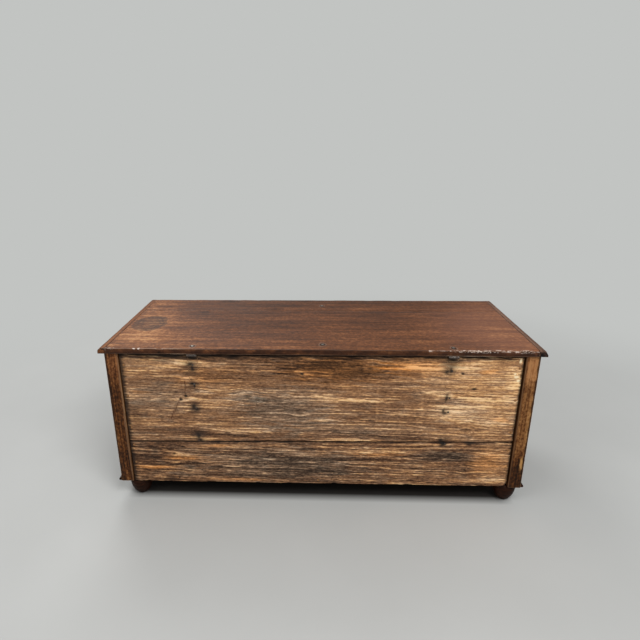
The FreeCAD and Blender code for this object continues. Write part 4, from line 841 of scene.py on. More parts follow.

# %% [markdown]
# ## Corner posts
# Each corner of the case is a post that the rails are tenoned into. The two rear ones are
# rebated to take the ends of the back boards, so their section is an L. On the face that looks
# back, a line along the inner arris is rubbed pale with a painted highlight on the right post and
# is painted shade on the left one, and the outer edge carries painted shade. The sides are plain,
# calm oak.

# %% Rear posts
REBATE = 0.750
REAR_POST = [(POST_INNER, POST_FRONT), (POST_OUTER, POST_FRONT), (POST_OUTER, POST_BACK),
             (REBATE, POST_BACK), (REBATE, BOARD_INSIDE), (POST_INNER, BOARD_INSIDE)]
POST_OAK = [(0.0, "#1C0D04"), (0.24, "#3A1F0B"), (0.48, "#61391A"), (0.8, "#91653A"),
            (1.0, "#A37A4C")]
# The last value is the colour of the line by the inner arris: rubbed pale with a painted highlight
# on the right post, painted shade on the left
for side, sign, lift, low_lift, inner in (("right", 1, -0.06, -0.04, "#7D5C42"),
                                          ("left", -1, 0.14, -0.09, "#2E1B10")):
    section = [(sign * x, y) for x, y in REAR_POST][::sign]
    across = sign * (REBATE + POST_OUTER) / 2
    zones = [((across, POST_BACK, up), (0.06, None, tall), shift) for up, tall, shift in (
        (0.62, 0.12, 0.14 + lift), (0.40, 0.26, lift), (0.14, 0.12, low_lift))]
    # Painted shade along the outer edge, then the line by the inner arris, then a warmer hue up
    # high
    layers = [((sign * 0.7985, POST_BACK, 0.36), (0.009, 0.02, None), "#170C06", 0.85, "MIX"),
              ((sign * 0.7535, POST_BACK, 0.36), (0.0045, 0.02, None), inner, 0.6, "MIX"),
              ((across, POST_BACK, 0.60), (0.06, None, 0.10), "#74442A", 0.35, "COLOR")]
    if side == "left":
        layers += [((-0.787, POST_BACK, 0.195), (0.007, 0.02, 0.045), "#B98A52", 0.8, "MIX"),
                   ((-0.771, POST_BACK, 0.48), (0.0014, 0.02, 0.16), "#2A170C", 0.7, "MIX")]
    finish = wood(f"waxed oak, rear {side} post", POST_OAK, "z", 0.006, sign + 2, (0.50, 0.66),
                  0.0005, (0.38, 0.955), zones, layers, specular=0.12, mottle=0.62)
    post = timber(f"rear_{side}_post_hewn", section, "z", CASE_LOW, CASE_TOP, 44)
    age(post, 0.0022, 0.0003, 0.0008, (0.03, 0.03, 0.05), sign + 2)
    # Only the face that looks back is as battered as the back boards
    for face in post.data.polygons:
        if face.material_index == 0 and face.normal.y < 0.7:
            face.material_index = 2
    finish_piece(post, "case", [finish, rubbed_oak["z"], oak["z"]], "stained_oak",
                 f"rear_{side}_post")
print("rear posts made")

# %% [markdown]
# ## The lid
# Two wide boards are nailed between cleats that keep them flat, and a thumb moulding runs round
# the front and the ends. The boards are sections drawn with that moulding and extruded; the cleats
# are copied from the construction model, because their moulding turns the corner there. The top
# was varnished once, wore through near the back and the ends, and keeps the ring of a wet pot.

# %% Lid finish
LID_WOOD = [(0.0, "#28140A"), (0.3, "#4A2B18"), (0.55, "#623B23"), (0.8, "#875735"),
            (1.0, "#B07F54")]
# Worn and dark places on the upper face, as place, reach and change of tone or colour
UPPER_FACE, THROUGH = LID_TOP + 0.003, 0.022
LID_ZONES = [((x, y, UPPER_FACE), (wide, deep, THROUGH), shift) for x, y, wide, deep, shift in (
    (0.76, 0.0, 0.22, 0.5, 0.2), (0.6, 0.12, 0.24, 0.3, 0.12), (-0.76, 0.05, 0.24, 0.5, 0.14),
    (0.0, 0.24, 1.2, 0.14, 0.07), (0.66, 0.22, 0.08, 0.03, 0.05),
    (0.562, 0.185, 0.05, 0.025, 0.05), (0.781, 0.283, 0.04, 0.02, 0.12),
    (-0.7, 0.151, 0.1, 0.06, 0.06), (0.0, -0.25, 0.7, 0.12, -0.05),
    (0.425, -0.278, 0.06, 0.025, -0.18), (0.199, -0.164, 0.06, 0.025, -0.16),
    (-0.524, -0.076, 0.07, 0.02, -0.14), (0.712, -0.187, 0.06, 0.03, -0.18),
    (0.51, -0.116, 0.05, 0.02, -0.18), (0.2, 0.02, 0.3, 0.06, -0.06), (-0.3, 0.1, 0.2, 0.05, 0.05)
)]
LID_LAYERS = [((x, y, UPPER_FACE), (wide, deep, THROUGH), code, strength, "MIX")
              for code, x, y, wide, deep, strength in (
    ("#7C5545", -0.76, 0.08, 0.42, 0.50, 0.45), ("#301E14", 0.619, -0.051, 0.022, 0.004, 0.8),
    ("#301E14", 0.480, 0.019, 0.018, 0.004, 0.7), ("#301E14", 0.485, 0.093, 0.020, 0.004, 0.7),
    ("#301E14", 0.446, 0.080, 0.016, 0.004, 0.6), ("#301E14", 0.523, -0.073, 0.018, 0.004, 0.6),
    ("#2A1A12", -0.508, -0.204, 0.045, 0.003, 0.7), ("#B59A86", -0.410, 0.309, 0.010, 0.004, 0.6),
)]
# The underside never had varnish, and the back edge is black with handling
LID_LAYERS += [(place, reach, code, strength, "MIX") for place, reach, code, strength in (
    ((0.0, 0.0, 0.645), (None, None, 0.006), "#735A43", 0.45),
    ((0.0, 0.318, 0.655), (None, 0.0080, None), "#20120D", 0.80),
    # Painted shade in a deep knock in the back arris and in the broken back corner
    ((0.586, 0.320, 0.662), (0.012, 0.016, None), "#0D0705", 0.9),
    ((-0.787, 0.320, 0.655), (0.013, 0.016, None), "#0A0504", 0.95),
)]
RIVETS = [*((x, 0.288) for x in HINGES), (-0.014, 0.2635), (-0.014, -0.214)]
POT, POT_REACH = (0.707, 0.038, LID_TOP), (0.072, 0.096, 0.020)
# How strong a dent, the painted highlight on its rim and the ring of a pot are at a share of their
# reach
DENT = [(0.35, "#E8E8E8"), (0.55, "#D0D0D0"), (0.85, "#000000")]
RIM_HIGHLIGHT = [(0.60, "#000000"), (0.74, "#7C7C7C"), (0.84, "#6C6C6C"), (1.0, "#000000")]
RING = [(0.0, "#CCCCCC"), (0.40, "#C8C8C8"), (0.52, "#F0F0F0"), (0.62, "#CCCCCC"),
        (0.74, "#F4F4F4"), (0.82, "#D0D0D0"), (0.92, "#E0E0E0"), (1.0, "#000000")]


def lid_marks(tree, place, colour):
    """Dents round the rivets with a painted highlight on each rim, and rings that a wet pot left,
    darker and greyer than the wood.
    """
    slightly = shaken_place(tree, (0.020, 0.020, 0.0))
    for x, y in RIVETS:
        away = reaches_away(tree, slightly, (x, y, LID_TOP), (0.016, 0.022, 0.020))
        # A dark dent, then a painted highlight on its rim
        for code, stops in (("#1C100A", DENT), ("#AD9482", RIM_HIGHLIGHT)):
            mask = add(tree, "ValToRGB", {0: away}, stops=stops)
            colour = add(tree, "Mix", {0: mask, 6: colour, 7: code}, 2, data_type="RGBA")
    colour = chips_and_glints(tree, place, colour)
    away = reaches_away(tree, place, POT, POT_REACH)
    mask = add(tree, "ValToRGB", {0: away}, stops=RING)
    gaps = cells(tree, (0.050, 0.016, 0.05), 3.0, 0.5, 44)
    gaps = add(tree, "MapRange", {0: gaps, 1: 0.36, 2: 0.54, 3: 0.60, 4: 1.0})
    mask = add(tree, "Math", {0: mask, 1: gaps}, operation="MULTIPLY")
    return add(tree, "Mix", {0: mask, 6: colour, 7: "#33241E"}, 2, data_type="RGBA")


def chips_and_glints(tree, place, colour):
    """Pale flecks where the varnish has chipped off the back arris, thick at one end, with painted
    glints of light among them.
    """
    flecks = cells(tree, (0.009, 0.004, 0.004), 3.0, 0.6, 41)
    flecks = add(tree, "MapRange", {0: flecks, 1: 0.50, 2: 0.59})
    mask = 0.0
    for along, reach, strength in ((-0.66, 0.28, 0.64), (0.79, 0.06, 0.42)):
        worn = spot(tree, place, (along, LID_BACK, LID_TOP), (reach, 0.012, 0.009), strength, 0.6)
        mask = add(tree, "Math", {0: mask, 1: worn}, operation="MAXIMUM")
    mask = add(tree, "Math", {0: mask, 1: flecks}, operation="MULTIPLY")
    for along, reach, strength in ((0.684, 0.007, 0.95), (0.664, 0.007, 0.9), (0.572, 0.005, 0.5),
                                   (-0.403, 0.006, 0.6)):
        chip = spot(tree, place, (along, LID_BACK, LID_TOP), (reach, 0.009, 0.008), strength, 0.4)
        mask = add(tree, "Math", {0: mask, 1: chip}, operation="MAXIMUM")
    return add(tree, "Mix", {0: mask, 6: colour, 7: "#DCCABB"}, 2, data_type="RGBA")


lid_wood = wood("worn varnished lid boards", LID_WOOD, "x", 0.017, 20, (0.52, 0.70), 0.0004,
                (0.34, 1.00), LID_ZONES, LID_LAYERS, over=lid_marks, specular=0.12, mottle=0.60)
lid_cleat_wood = wood("dark varnished lid cleats", LID_WOOD, "y", 0.010, 23, (0.52, 0.70), 0.0004,
                      (0.10, 0.98), [((-0.80, 0.0, 0.66), (0.2, None, None), -0.05)],
                      [((-0.80, 0.0, 0.66), (0.2, None, None), "#57443A", 0.7, "COLOR"),
                       ((0.0, 0.318, 0.655), (None, 0.0080, None), "#20120D", 0.85, "MIX"),
                       # Painted shade in the broken back corner
                       ((-0.797, 0.320, 0.651), (0.014, 0.018, 0.014), "#0A0504", 0.95, "MIX")],
                      specular=0.10, mottle=0.35)
# Rubbed arrises, paler with wear; the lighter zones near the back are a painted highlight along the
# back arris, and the flecks laid over them are chips with painted glints
lid_cleat_wear_and_glints = wood("rubbed lid cleats with painted glints", LID_WOOD, "y", 0.008, 24, (0.5, 0.7), 0.0003,
                        (0.36, 1.08), [((-0.80, LID_BACK, LID_TOP), (0.05, 0.05, None), 0.12)],
                        over=chips_and_glints, specular=0.12)
lid_arris_wear_and_glints = wood("rubbed lid arris with painted glints", [(0.0, "#23160F"), (0.4, "#432C1E"), (0.7, "#775640"),
                                       (1.0, "#C8AE93")], "x", 0.008, 24, (0.34, 0.5), 0.0003,
                  zones=[((-0.64, LID_BACK, LID_TOP), (0.24, 0.05, None), 0.12),
                         ((0.60, LID_BACK, LID_TOP), (0.24, 0.05, None), 0.03)],
                  over=chips_and_glints)
print("lid finishes mixed")

# %% Lid boards
LID_END, OPEN_JOINT, THUMB = CLEAT - 2 * HAIR, 2 * HAIR, 0.012
# Knocks in the back arris as place along, reach and depth
KNOCKS = [(0.586, 0.01, 0.0048), (0.735, 0.008, 0.0024), (0.69, 0.006, 0.002),
          (0.65, 0.006, 0.0022), (0.42, 0.007, 0.0018), (0.205, 0.008, 0.0016),
          (-0.09, 0.007, 0.0014), (-0.3, 0.008, 0.0018), (-0.405, 0.01, 0.0034),
          (-0.56, 0.007, 0.002), (-0.655, 0.008, 0.0022), (-0.712, 0.007, 0.0026)]
rear_section = rectangle((LID_SEAM + OPEN_JOINT, LID_LOW), (LID_BACK, LID_TOP))
rear_lid_board = timber("lid_rear_board_planed", rear_section, "x", -LID_END, LID_END, 262)
slice_at(rear_lid_board, "y", np.linspace(-0.11, 0.30, 14))
age(rear_lid_board, 0.0022, 0.0004, 0.0016, (0.04, 0.06, 0.04), 31)
points = points_of(rear_lid_board)
broken = smooth(-0.764, -0.770, points[:, 0]) * smooth(0.305, 0.311, points[:, 1])
broken *= smooth(0.655, 0.664, points[:, 2])
points[:, 1] -= 0.005 * broken
points[:, 2] -= 0.004 * broken
on_arris = smooth(0.303, 0.311, points[:, 1]) * smooth(0.654, 0.665, points[:, 2])
for along, reach, depth in KNOCKS:
    hit = depth * on_arris * np.exp(-(((points[:, 0] - along) / reach) ** 2))
    points[:, 1] -= hit
    points[:, 2] -= 0.8 * hit
set_points(rear_lid_board, points)

quarter = [math.radians(90 + 15 * step) for step in range(7)]
thumb_y, thumb_z = LID_FRONT + THUMB, LID_TOP - 0.002 - THUMB
thumb = [(thumb_y + THUMB * math.cos(turn), thumb_z + THUMB * math.sin(turn)) for turn in quarter]
front_section = [(LID_FRONT, LID_LOW), (LID_SEAM - OPEN_JOINT, LID_LOW),
                 (LID_SEAM - OPEN_JOINT, LID_TOP), (thumb_y, LID_TOP), *thumb]
front_lid_board = timber("lid_front_board_planed", front_section, "x", -LID_END, LID_END, 110)
slice_at(front_lid_board, "y", np.linspace(-0.28, -0.16, 4))
age(front_lid_board, 0.0012, 0.0004, 0.0012, (0.04, 0.06, 0.04), 32)
for piece, node in ((rear_lid_board, "lid_rear_board"), (front_lid_board, "lid_front_board")):
    finish_piece(piece, "lid", [lid_wood, lid_arris_wear_and_glints], "varnished_lid_wood", node)

for side in ("left", "right"):
    cleat = copy_of(f"{side}_lid_cleat", f"{side}_lid_cleat_moulded")
    slice_at(cleat, "y", np.linspace(-0.29, 0.30, 40))
    age(cleat, 0.0016, 0.0003, 0.0012, (0.04, 0.04, 0.04), 33)
    if side == "left":
        points = points_of(cleat)
        broken = smooth(0.300, 0.311, points[:, 1]) * smooth(0.650, 0.664, points[:, 2])
        points[:, 1] -= 0.005 * broken
        points[:, 2] -= 0.005 * broken
        set_points(cleat, points)
    finish_piece(cleat, "lid", [lid_cleat_wood, lid_cleat_wear_and_glints], "varnished_lid_wood",
                 f"{side}_lid_cleat")
(left, front, low), (right, back, high) = corners("lid_batten")
chamfer = 0.006
section = [(left, high), (left, low + chamfer), (left + chamfer, low), (right - chamfer, low),
           (right, low + chamfer), (right, high)]
batten = timber("lid_batten_chamfered", section, "y", front, back, 20)
age(batten, 0.0012, 0.0003, 0.0008, (0.04, 0.04, 0.04), 34)
finish_piece(batten, "lid", [bare_pine["y"], rubbed_oak["y"]], "bare_pine", "lid_batten")
print("lid made")

# %% [markdown]
# ## Bun feet
# A turner made the feet, so they are made as on a lathe: half of the outline is drawn, two arcs
# that meet at the belly, and spun round the foot's own axis.

# %% Feet
def arc(start, end, radius, count):
    """Points on an arc from start to end that bulges away from the axis."""
    start, end = np.array(start), np.array(end)
    middle, half = (start + end) / 2, np.linalg.norm(end - start) / 2
    along = (end - start) / (2 * half)
    outer = np.array((along[1], -along[0]))
    centre = middle - outer * math.sqrt(radius**2 - half**2)
    spread = math.asin(half / radius)
    return [centre + radius * (outer * math.cos(turn) + along * math.sin(turn))
            for turn in np.linspace(-spread, spread, count)]


OUTLINE = [(0.0, 0.0), (0.018, 0.0), *arc((0.020, 0.001), (0.044, 0.060), 0.087, 14)]
OUTLINE += [*arc((0.0438, 0.061), (0.036, 0.079), 0.029, 7), (0.030, 0.080), (0.0, 0.080)]
for end in ("front", "rear"):
    for side in ("left", "right"):
        name = f"{end}_{side}_foot"
        across, depth, _ = [round(sum(pair) / 2, 4) for pair in zip(*corners(name))]
        drawing = bpy.data.meshes.new(name)
        drawing.from_pydata([(across + r, depth, z) for r, z in OUTLINE],
                            [(number, number + 1) for number in range(len(OUTLINE) - 1)], [])
        foot = bpy.data.objects.new(name + "_turned", drawing)
        bpy.context.scene.collection.objects.link(foot)
        pick(foot)
        bpy.ops.object.mode_set(mode="EDIT")
        bpy.ops.mesh.select_all(action="SELECT")
        bpy.ops.mesh.spin(steps=56, angle=math.tau, center=(across, depth, 0), axis=(0, 0, 1))
        bpy.ops.mesh.select_all(action="SELECT")
        bpy.ops.mesh.remove_doubles(threshold=1e-5)
        outward()
        weather(foot, 0.0006, 0, (0.02, 0.02, 0.01), across + depth)
        set_points(foot, np.maximum(points_of(foot), (-9.0, -9.0, 0.0)))
        finish_piece(foot, "case", [dark_oak["x"]], "dark_turned_oak", name)
print("feet turned")

# %% [markdown]
# ## Mouldings, rails and panels of the ends
# The base moulding is copied from the construction model, where its corners are mitred. The rails
# of the ends are plain, with a thin line scratched along each inner edge, so the line is part of
# the section. The panels are raised: thick in the middle and thin where they enter the grooves.

# %% Base mouldings and end panels
for side, lengthwise, reach in (("front", "x", 0.756), ("left", "y", 0.27), ("right", "y", 0.27)):
    name = f"{side}_base_moulding"
    moulding = copy_of(name, f"{name}_run")
    slice_at(moulding, lengthwise, np.linspace(-reach, reach, 30))
    weather(moulding, 0.0003, 0, (0.03, 0.03, 0.02), 41)
    finish_piece(moulding, "case", [dark_oak[lengthwise]], "dark_turned_oak", name)
for side in ("left", "right"):
    for end, first, last in (("front", -0.2, -0.05), ("rear", 0.06, 0.22)):
        name = f"{side}_{end}_panel"
        panel = copy_of(name, f"{name}_raised")
        slice_at(panel, "z", np.linspace(0.2, 0.54, 16))
        slice_at(panel, "y", np.linspace(first, last, 8))
        age(panel, 0.0010, 0.0005, 0.0004, (0.06, 0.06, 0.09), 42)
        finish_piece(panel, "case", [oak["z"], rubbed_oak["z"]], "stained_oak", name)
print("mouldings and end panels made")

# %% End rails and muntins
EDGE_TO_LINE = 0.012


def scratched(z_low, z_high, line, sign):
    """A rail's section across x and z, its outer face towards sign, with a scratched line."""
    inner, face, pit = sign * SIDE_INNER, sign * SIDE_OUTER, sign * (SIDE_OUTER - 0.0018)
    return [(inner, z_low), (face, z_low), (face, line - 0.0022), (pit, line - 0.0008),
            (pit, line + 0.0008), (face, line + 0.0022), (face, z_high), (inner, z_high)]


for side, sign in SIDES:
    for level, z_low, z_high, line in (
            ("top", TOP_RAIL_LOW, CASE_TOP, TOP_RAIL_LOW + EDGE_TO_LINE),
            ("bottom", CASE_LOW, FOOT_RAIL_TOP, FOOT_RAIL_TOP - EDGE_TO_LINE)):
        name = f"{side}_{level}_rail"
        rail = timber(f"{name}_planed", scratched(z_low, z_high, line, sign), "y",
                      FRONT_POST_BACK + HAIR, POST_FRONT - HAIR, 30)
        age(rail, 0.0012, 0.0003, 0.0005, (0.03, 0.05, 0.03), 43)
        finish_piece(rail, "case", [oak["y"], rubbed_oak["y"]], "stained_oak", name)
    name = f"{side}_muntin"
    section = rectangle(*[corner[:2] for corner in corners(name)])
    muntin = timber(f"{name}_planed", section, "z", FOOT_RAIL_TOP + HAIR, TOP_RAIL_LOW - HAIR, 26)
    age(muntin, 0.0014, 0.0003, 0.0006, (0.03, 0.03, 0.05), 44)
    finish_piece(muntin, "case", [oak["z"], rubbed_oak["z"]], "stained_oak", name)
print("ends made")

# %% [markdown]
# ## Carving
# The front carries the chest's show: a frieze of lunettes, panels with rosettes, plaited bands on
# the muntins and a row of gouged flutes along the foot. A carver worked with a few gouges and a
# compass, so each ornament is described the same way: by the distance from a centre and the turn
# round it. The ground is cut back 4 mm, and what stays is rounded towards it.

# %% Carver's gouges
GROUND = 0.0038


def flutes(turn, count):
    """How far from a flute's middle, 0, to the ridge beside it, 1, for a turn of 0 to 1."""
    return np.abs(turn * count - np.floor(turn * count) - 0.5) * 2


def band(value, centre, half, soft=0.0014):
    """1 on a line of the given half width, falling softly to 0 on both sides."""
    return 1 - smooth(half, half + soft, np.abs(value - centre))


def cut(depth, mask, level):
    """Bring the surface to a level where the mask is."""
    return depth * (1 - mask) + level * mask


def shell(depth, r, turn, reach, count):
    """A fan of gouged flutes inside a plain rim, with a small boss in the middle."""
    inside = 1 - smooth(reach - 0.001, reach + 0.001, r)
    hollow = 0.0042 * (1 - flutes(turn, count) ** 2) * smooth(0.20, 0.34, r / reach)
    fan = hollow * smooth(0.86, 0.76, r / reach) + 0.0012 * band(r, reach * 0.93, 0.0006)
    boss = 1 - smooth(0.14, 0.17, r / reach)
    fan = cut(fan, band(r, reach * 0.19, 0.0012), 0.0030)
    fan = fan + 0.0012 * boss * (r / (reach * 0.17)) ** 2
    return cut(depth, inside, fan)


def rosette(depth, x, z, reach, count, turned=0.0):
    """A flower of rounded petals with a vein in each, in a plain ring."""
    r, turn = np.hypot(x, z), np.arctan2(z, x) / math.tau + 0.5 + turned
    beside = flutes(turn, count)
    swell = np.sin(math.pi * np.clip((r / reach - 0.12) / 0.80, 0, 1)) ** 0.7 * 0.92
    petal = smooth(swell + 0.02, swell - 0.12, beside) * (swell > 0.03)
    rounded = 0.0004 + 0.0024 * (beside / np.maximum(swell, 0.05)) ** 2
    rounded = rounded + 0.0010 * smooth(0.16, 0.04, beside)
    depth = cut(depth, 1 - smooth(reach, reach + 0.0015, r), GROUND)
    depth = cut(depth, petal, np.minimum(rounded, GROUND))
    boss = 1 - smooth(0.0, 0.02, r - reach * 0.15)
    dome = 0.0030 * (r / (reach * 0.17)) ** 2 + 0.0014 * smooth(0.05 * reach, 0.0, r)
    depth = cut(depth, (r < reach * 0.17) * boss, np.minimum(dome, GROUND))
    return cut(depth, band(r, reach + 0.0045, 0.0030), 0.0002)


def carved(shape):
    """A shape's depths with tool marks, and the hollows kept for the finish."""
    def worked(x, z):
        flat = np.stack((x, z), axis=1)
        depth = shape(x, z)
        tooled = 0.00025 * noise(flat, (0.009, 0.009), 5) * smooth(0.001, 0.003, depth)
        depth = depth + tooled + 0.00035 * (1 + noise(flat, (0.08, 0.05), 6))
        return depth, {"hollow": smooth(0.0006, 0.0042, depth)}
    return worked


# %% Frieze, foot rail and posts
# Half of the plain place in the middle, then the width of one lunette and half of it
PLAIN, LUNETTE, HALF = 0.046, 0.110, 0.055
FLUTES_END = 0.702
POST_MIDDLE = (POST_INNER + POST_OUTER) / 2


def frieze(x, z):
    """Six lunettes on each side of a plain place for the lock's plate."""
    side = np.abs(x) - PLAIN
    along = np.modf(np.clip(side, 0, 0.6599) / LUNETTE)[0] * LUNETTE - HALF
    rise = z - 0.556
    field = band(np.abs(x), 0.376, 0.329) * band(z, 0.5965, 0.0410)
    depth = field * GROUND
    dart = smooth(0.0, 0.0015, 0.0145 * smooth(0.592, 0.636, z) - (HALF - np.abs(along)))
    depth = cut(depth, field * dart, 0.0006 + 0.0012 * band(np.abs(along), HALF, 0.0006))
    wide, tall = along / 0.054, rise / 0.078
    r, turn = np.hypot(wide, tall), np.arctan2(tall, wide) / math.pi
    inside = (rise > 0) * (side > 0) * (side < 6 * LUNETTE)
    depth = np.where(inside, shell(depth, r * 0.060, turn, 0.060, 7), depth)
    lines = band(z, 0.5515, 0.0006) + band(z, 0.6420, 0.0006)
    depth = depth + 0.0012 * lines * (np.abs(x) > 0.03)
    keyhole = 1 - smooth(0.006, 0.008, np.hypot(x, z - 0.590))
    return depth + 0.022 * keyhole


def foot_rail(x, z):
    """Upright flutes with round ends between two scratched lines."""
    beside = flutes(x / 0.0355, 1) * 0.01775
    over = np.clip(np.abs(z - 0.148) - 0.016, 0, 1)
    r = np.hypot(beside, over)
    depth = 0.0036 * np.clip(1 - (r / 0.0135) ** 2, 0, 1) ** 0.7
    depth = (depth + 0.0010 * band(r, 0.0158, 0.0005)) * (np.abs(x) < FLUTES_END)
    return depth + 0.0012 * (band(z, 0.1125, 0.0006) + band(z, 0.1835, 0.0006))


def fluted_post(x, z):
    """Three long flutes with round ends."""
    across = np.abs(np.abs(x) - POST_MIDDLE)
    beside = np.minimum(np.abs(across - 0.024), across)
    over = np.clip(np.abs(z - MIDDLE) - 0.200, 0, 1)
    depth = 0.0034 * np.clip(1 - (np.hypot(beside, over) / 0.0080) ** 2, 0, 1) ** 0.6
    lines = band(z, 0.595, 0.0008) + band(z, 0.142, 0.0008)
    return depth + 0.0012 * lines * (across < 0.037)


# %% Plaited bands and panels
# How far the bands of the plait swing to each side, and the step from one crossing to the next
SWING, CROSSING = 0.0235, (TOP_RAIL_LOW - FOOT_RAIL_TOP) / 7
MUNTIN_MIDDLE, FLANK_MIDDLE = 0.2517, 0.50335


def plait(x, z):
    """Two bands that swing across each other, one over and one under, round small bosses."""
    across, step = np.abs(x) - MUNTIN_MIDDLE, (z - FOOT_RAIL_TOP) / CROSSING
    field = band(across, 0, 0.0345) * band(z, MIDDLE, 0.1720)
    depth = field * GROUND
    nearest = np.round(step)
    near = 1 - smooth(0.16, 0.34, np.abs(step - nearest))
    for sign in (1, -1):
        swing = sign * SWING * np.sin(math.pi * step)
        slope = SWING * math.pi / CROSSING * np.cos(math.pi * step)
        off = np.abs(across - swing) / np.sqrt(1 + slope**2)
        under = near * (np.cos(math.pi * nearest) * sign < 0)
        level = 0.0003 + 0.0014 * under + 0.0009 * band(off, 0, 0.0005, 0.0010)
        mask = (1 - smooth(0.0042, 0.0058, off)) * field
        depth = np.minimum(depth, cut(depth, mask, level))
    eye = FOOT_RAIL_TOP + (np.floor(step) + 0.5) * CROSSING
    r = np.hypot(across, z - eye)
    boss = 0.0006 + 0.0030 * (r / 0.0095) ** 2 + 0.0016 * smooth(0.0028, 0.0008, r)
    depth = np.where(r < 0.0095, np.minimum(depth, boss), depth)
    return depth + 0.0011 * (band(np.abs(across), 0.0395, 0.0006) * band(z, MIDDLE, 0.176))


def raised_panel(x, z):
    """A panel's sunk ground and its bevel, then places in a corner: x, z, distance and turn."""
    inner = np.minimum(0.2027 - np.abs(x), 0.1745 - np.abs(z))
    bevel = 0.008 * (1 - np.clip(inner / 0.026, 0, 1))
    ground = smooth(0.0085, 0.0105, inner - 0.026) * GROUND
    x, z = 0.166 - np.abs(x), 0.138 - np.abs(z)
    return ground, bevel, x, z, np.hypot(x, z), np.arctan2(z, x) / (math.pi / 2)


def flank_panel(x, z):
    """A lozenge with a flower in it, and a fan in each corner."""
    x, z = np.abs(x) - FLANK_MIDDLE, z - MIDDLE
    depth, bevel, corner_x, corner_z, r, turn = raised_panel(x, z)
    skew = np.abs(x) / 0.158 + np.abs(z) / 0.130
    fans = (skew > 1.07) * (corner_x > 0) * (corner_z > 0)
    depth = np.where(fans, shell(depth, r, turn, 0.062, 5), depth)
    for offset in (0.0, 0.135):
        depth = cut(depth, band(skew, 1.0 - offset, 0.026, 0.014), 0.0002)
    depth = rosette(depth, x, z, 0.072, 8)
    for along, up in ((0.104, 0.0), (0.0, 0.094)):
        depth = rosette(depth, np.abs(x) - along, np.abs(z) - up, 0.0105, 4)
    return depth + bevel


def centre_panel(x, z):
    """A large flower of two rows of petals in a ring of beads, and a fan in each corner."""
    z = z - MIDDLE
    depth, bevel, corner_x, corner_z, r, turn = raised_panel(x, z)
    depth = np.where((corner_x > 0) * (corner_z > 0), shell(depth, r, turn, 0.072, 6), depth)
    r, turn = np.hypot(x, z), np.arctan2(z, x) / math.tau
    depth = cut(depth, 1 - smooth(0.134, 0.136, r), 0.0002)
    beads, ring, size = 44, 0.1265, 0.0064
    away = np.hypot(flutes(turn, beads) * math.pi * ring / beads, r - ring)
    depth = cut(depth, band(r, ring, 0.0068), 0.0034)
    bead = 0.0004 + 0.0028 * (away / size) ** 2
    depth = np.where(away < size, np.minimum(depth, bead), depth)
    depth = rosette(depth, x, z, 0.110, 12)
    depth = rosette(depth, x, z, 0.046, 8, 1 / 16)
    return depth + bevel


# %% Carved pieces
MUNTIN = (0.2069, 0.2965)
PANEL_HALF, PANEL_HEIGHTS = 0.2158, (0.181, 0.556)
panel_depth = [corner[1] for corner in corners("front_centre_panel")]
rail_depth, post_depth = (RAIL_FACE, RAIL_BACK), (RAIL_FACE, FRONT_POST_BACK)
between_posts = (HAIR - POST_INNER, POST_INNER - HAIR)
between_rails = (FOOT_RAIL_TOP, TOP_RAIL_LOW)
carved_pieces = [
    ("top_rail", between_posts, (TOP_RAIL_LOW + HAIR, CASE_TOP), rail_depth, 620, 52, frieze, "x"),
    ("bottom_rail", between_posts, (CASE_LOW, FOOT_RAIL_TOP - HAIR), rail_depth, 620, 50,
     foot_rail, "x"),
]
for side, sign in SIDES:
    carved_pieces.append((f"{side}_muntin", mirrored(sign, *MUNTIN), between_rails, rail_depth, 50,
                          180, plait, "z"))
for side, sign in SIDES:
    carved_pieces.append((f"{side}_post", mirrored(sign, POST_INNER, POST_OUTER),
                          (CASE_LOW, CASE_TOP), post_depth, 46, 150, fluted_post, "z"))
for side, centre, shape in (("left", -FLANK_MIDDLE, flank_panel), ("centre", 0.0, centre_panel),
                            ("right", FLANK_MIDDLE, flank_panel)):
    carved_pieces.append((f"{side}_panel", (centre - PANEL_HALF, centre + PANEL_HALF),
                          PANEL_HEIGHTS, panel_depth, 200, 174, shape, "z"))
for name, x_span, z_span, depth, columns, rows, shape, grain in carved_pieces:
    piece = faced_block(f"front_{name}_carved", x_span, z_span, *depth, columns, rows,
                        carved(shape))
    finish_piece(piece, "case", [carved_oak[grain], oak[grain]], "carved_oak", f"front_{name}")

# %% [markdown]
# ## Inside
# The floor boards, the ledger that carries them and the rail behind them are plain sawn wood.
# They are seen when the lid is up, so their arrises are eased and their faces are a little uneven.

# %% Floor and hidden rails
for number in range(1, 7):
    node = f"floor_board_{number}"
    low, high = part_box(node)
    section = rectangle((low.x, low.z), (high.x, high.z))
    board = timber(f"{node}_sawn", section, "y", low.y, high.y, 16)
    age(board, 0.0010, 0.0003, 0.0004, (0.05, 0.09, 0.05), 50 + number)
    finish_piece(board, "case", [bare_pine["y"], bare_pine["y"]], "bare_pine", node)
for node in ("front_ledger", "rear_bottom_rail"):
    low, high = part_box(node)
    section = rectangle((low.y, low.z), (high.y, high.z))
    start, end = max(low.x, -POST_INNER), min(high.x, POST_INNER)
    rail = timber(f"{node}_sawn", section, "x", start, end, 40)
    age(rail, 0.0012, 0.0003, 0.0005, (0.08, 0.04, 0.04), 60)
    finish_piece(rail, "case", [bare_pine["x"], rubbed_oak["x"]], "bare_pine", node)
print("inside made")

# %% [markdown]
# ## Iron and pegs
# Straps, hinge pins and nails are forged iron: nearly black, browned by rust, and brighter where
# hands and hammers polished it. The lock is thicker plate, filed and cleaner. The frame's joints
# are pinned with oak pegs, whose end grain took more stain than the rails. All of these keep the
# shapes of the construction model and get their finish here.

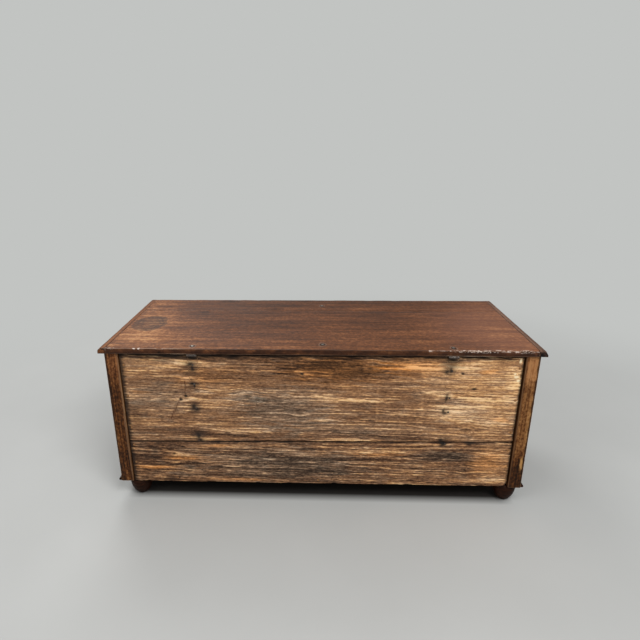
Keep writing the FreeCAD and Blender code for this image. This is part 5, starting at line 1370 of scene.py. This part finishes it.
# %% Iron and peg finishes
def iron(name, dark, bright, rust, gloss, rust_share):
    """Forged iron: hammered, browned by rust, brighter on what stands proud."""
    material, tree, shader = finish_named(name)
    hammered = cells(tree, (0.006, 0.006, 0.006), 2.0, 0.0, 1)
    grit = cells(tree, (0.0012, 0.0012, 0.0012), 3.0, 0.0, 2)
    bloom = cells(tree, (0.02, 0.02, 0.02), 4.0, 0.6, 3)
    tone = added_up(tree, (hammered, 0.6), (grit, 0.5))
    colour = add(tree, "ValToRGB", {0: tone}, stops=[(0.35, dark), (0.62, bright)])
    rusty = add(tree, "MapRange", {0: bloom, 1: 0.50, 2: 0.66, 4: rust_share})
    colour = add(tree, "Mix", {0: rusty, 6: colour, 7: rust}, 2, data_type="RGBA")
    dull = add(tree, "MapRange", {0: rusty, 1: 0.0, 2: 0.8, 3: gloss, 4: 0.85})
    shiny = add(tree, "MapRange", {0: rusty, 1: 0.0, 2: 0.8, 3: 1.0, 4: 0.25})
    tree.links.new(shiny, shader.inputs["Metallic"])
    height = added_up(tree, (hammered, 1.0), (grit, 0.3))
    surface(tree, shader, colour, dull, height, 0.0006)
    return material


forged_iron = iron("forged iron, rusted", "#2A2623", "#5E5853", "#4A2C1C", 0.42, 0.8)
polished_iron = iron("forged iron, hammered bright", "#433F3A", "#8C857C", "#4A3022", 0.34, 0.45)
lock_iron = iron("filed lock plate", "#37332F", "#77716A", "#4C3325", 0.36, 0.4)
peg_oak = wood("oak peg ends", DARK_OAK, "y", 0.003, 15, (0.4, 0.6), 0.0003)
rusted_nails = iron("nail heads, rusted to the colour of the wood", "#6E4C30", "#B08458", "#7D5534",
                    0.7, 1.0)
CAD_FINISHES = [
    (rusted_nails, ["back_nails"]), (peg_oak, ["frame_pegs"]),
    (lock_iron, ["escutcheon", "lock_case", "lock_staple"]),
    (polished_iron, ["lid_nails", "left_hinge_pin", "right_hinge_pin", "lock_bolt", "lock_nails"]),
    (forged_iron, ["strap_nails", "floor_nails", "left_upper_strap", "right_upper_strap",
                   "left_lower_strap", "right_lower_strap"]),
]
for material, nodes in CAD_FINISHES:
    for node in nodes:
        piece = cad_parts[node]
        if piece.material_slots:
            for held in piece.material_slots:
                held.material = material
        else:
            piece.data.materials.append(material)
    print(material.name, "on", *nodes)
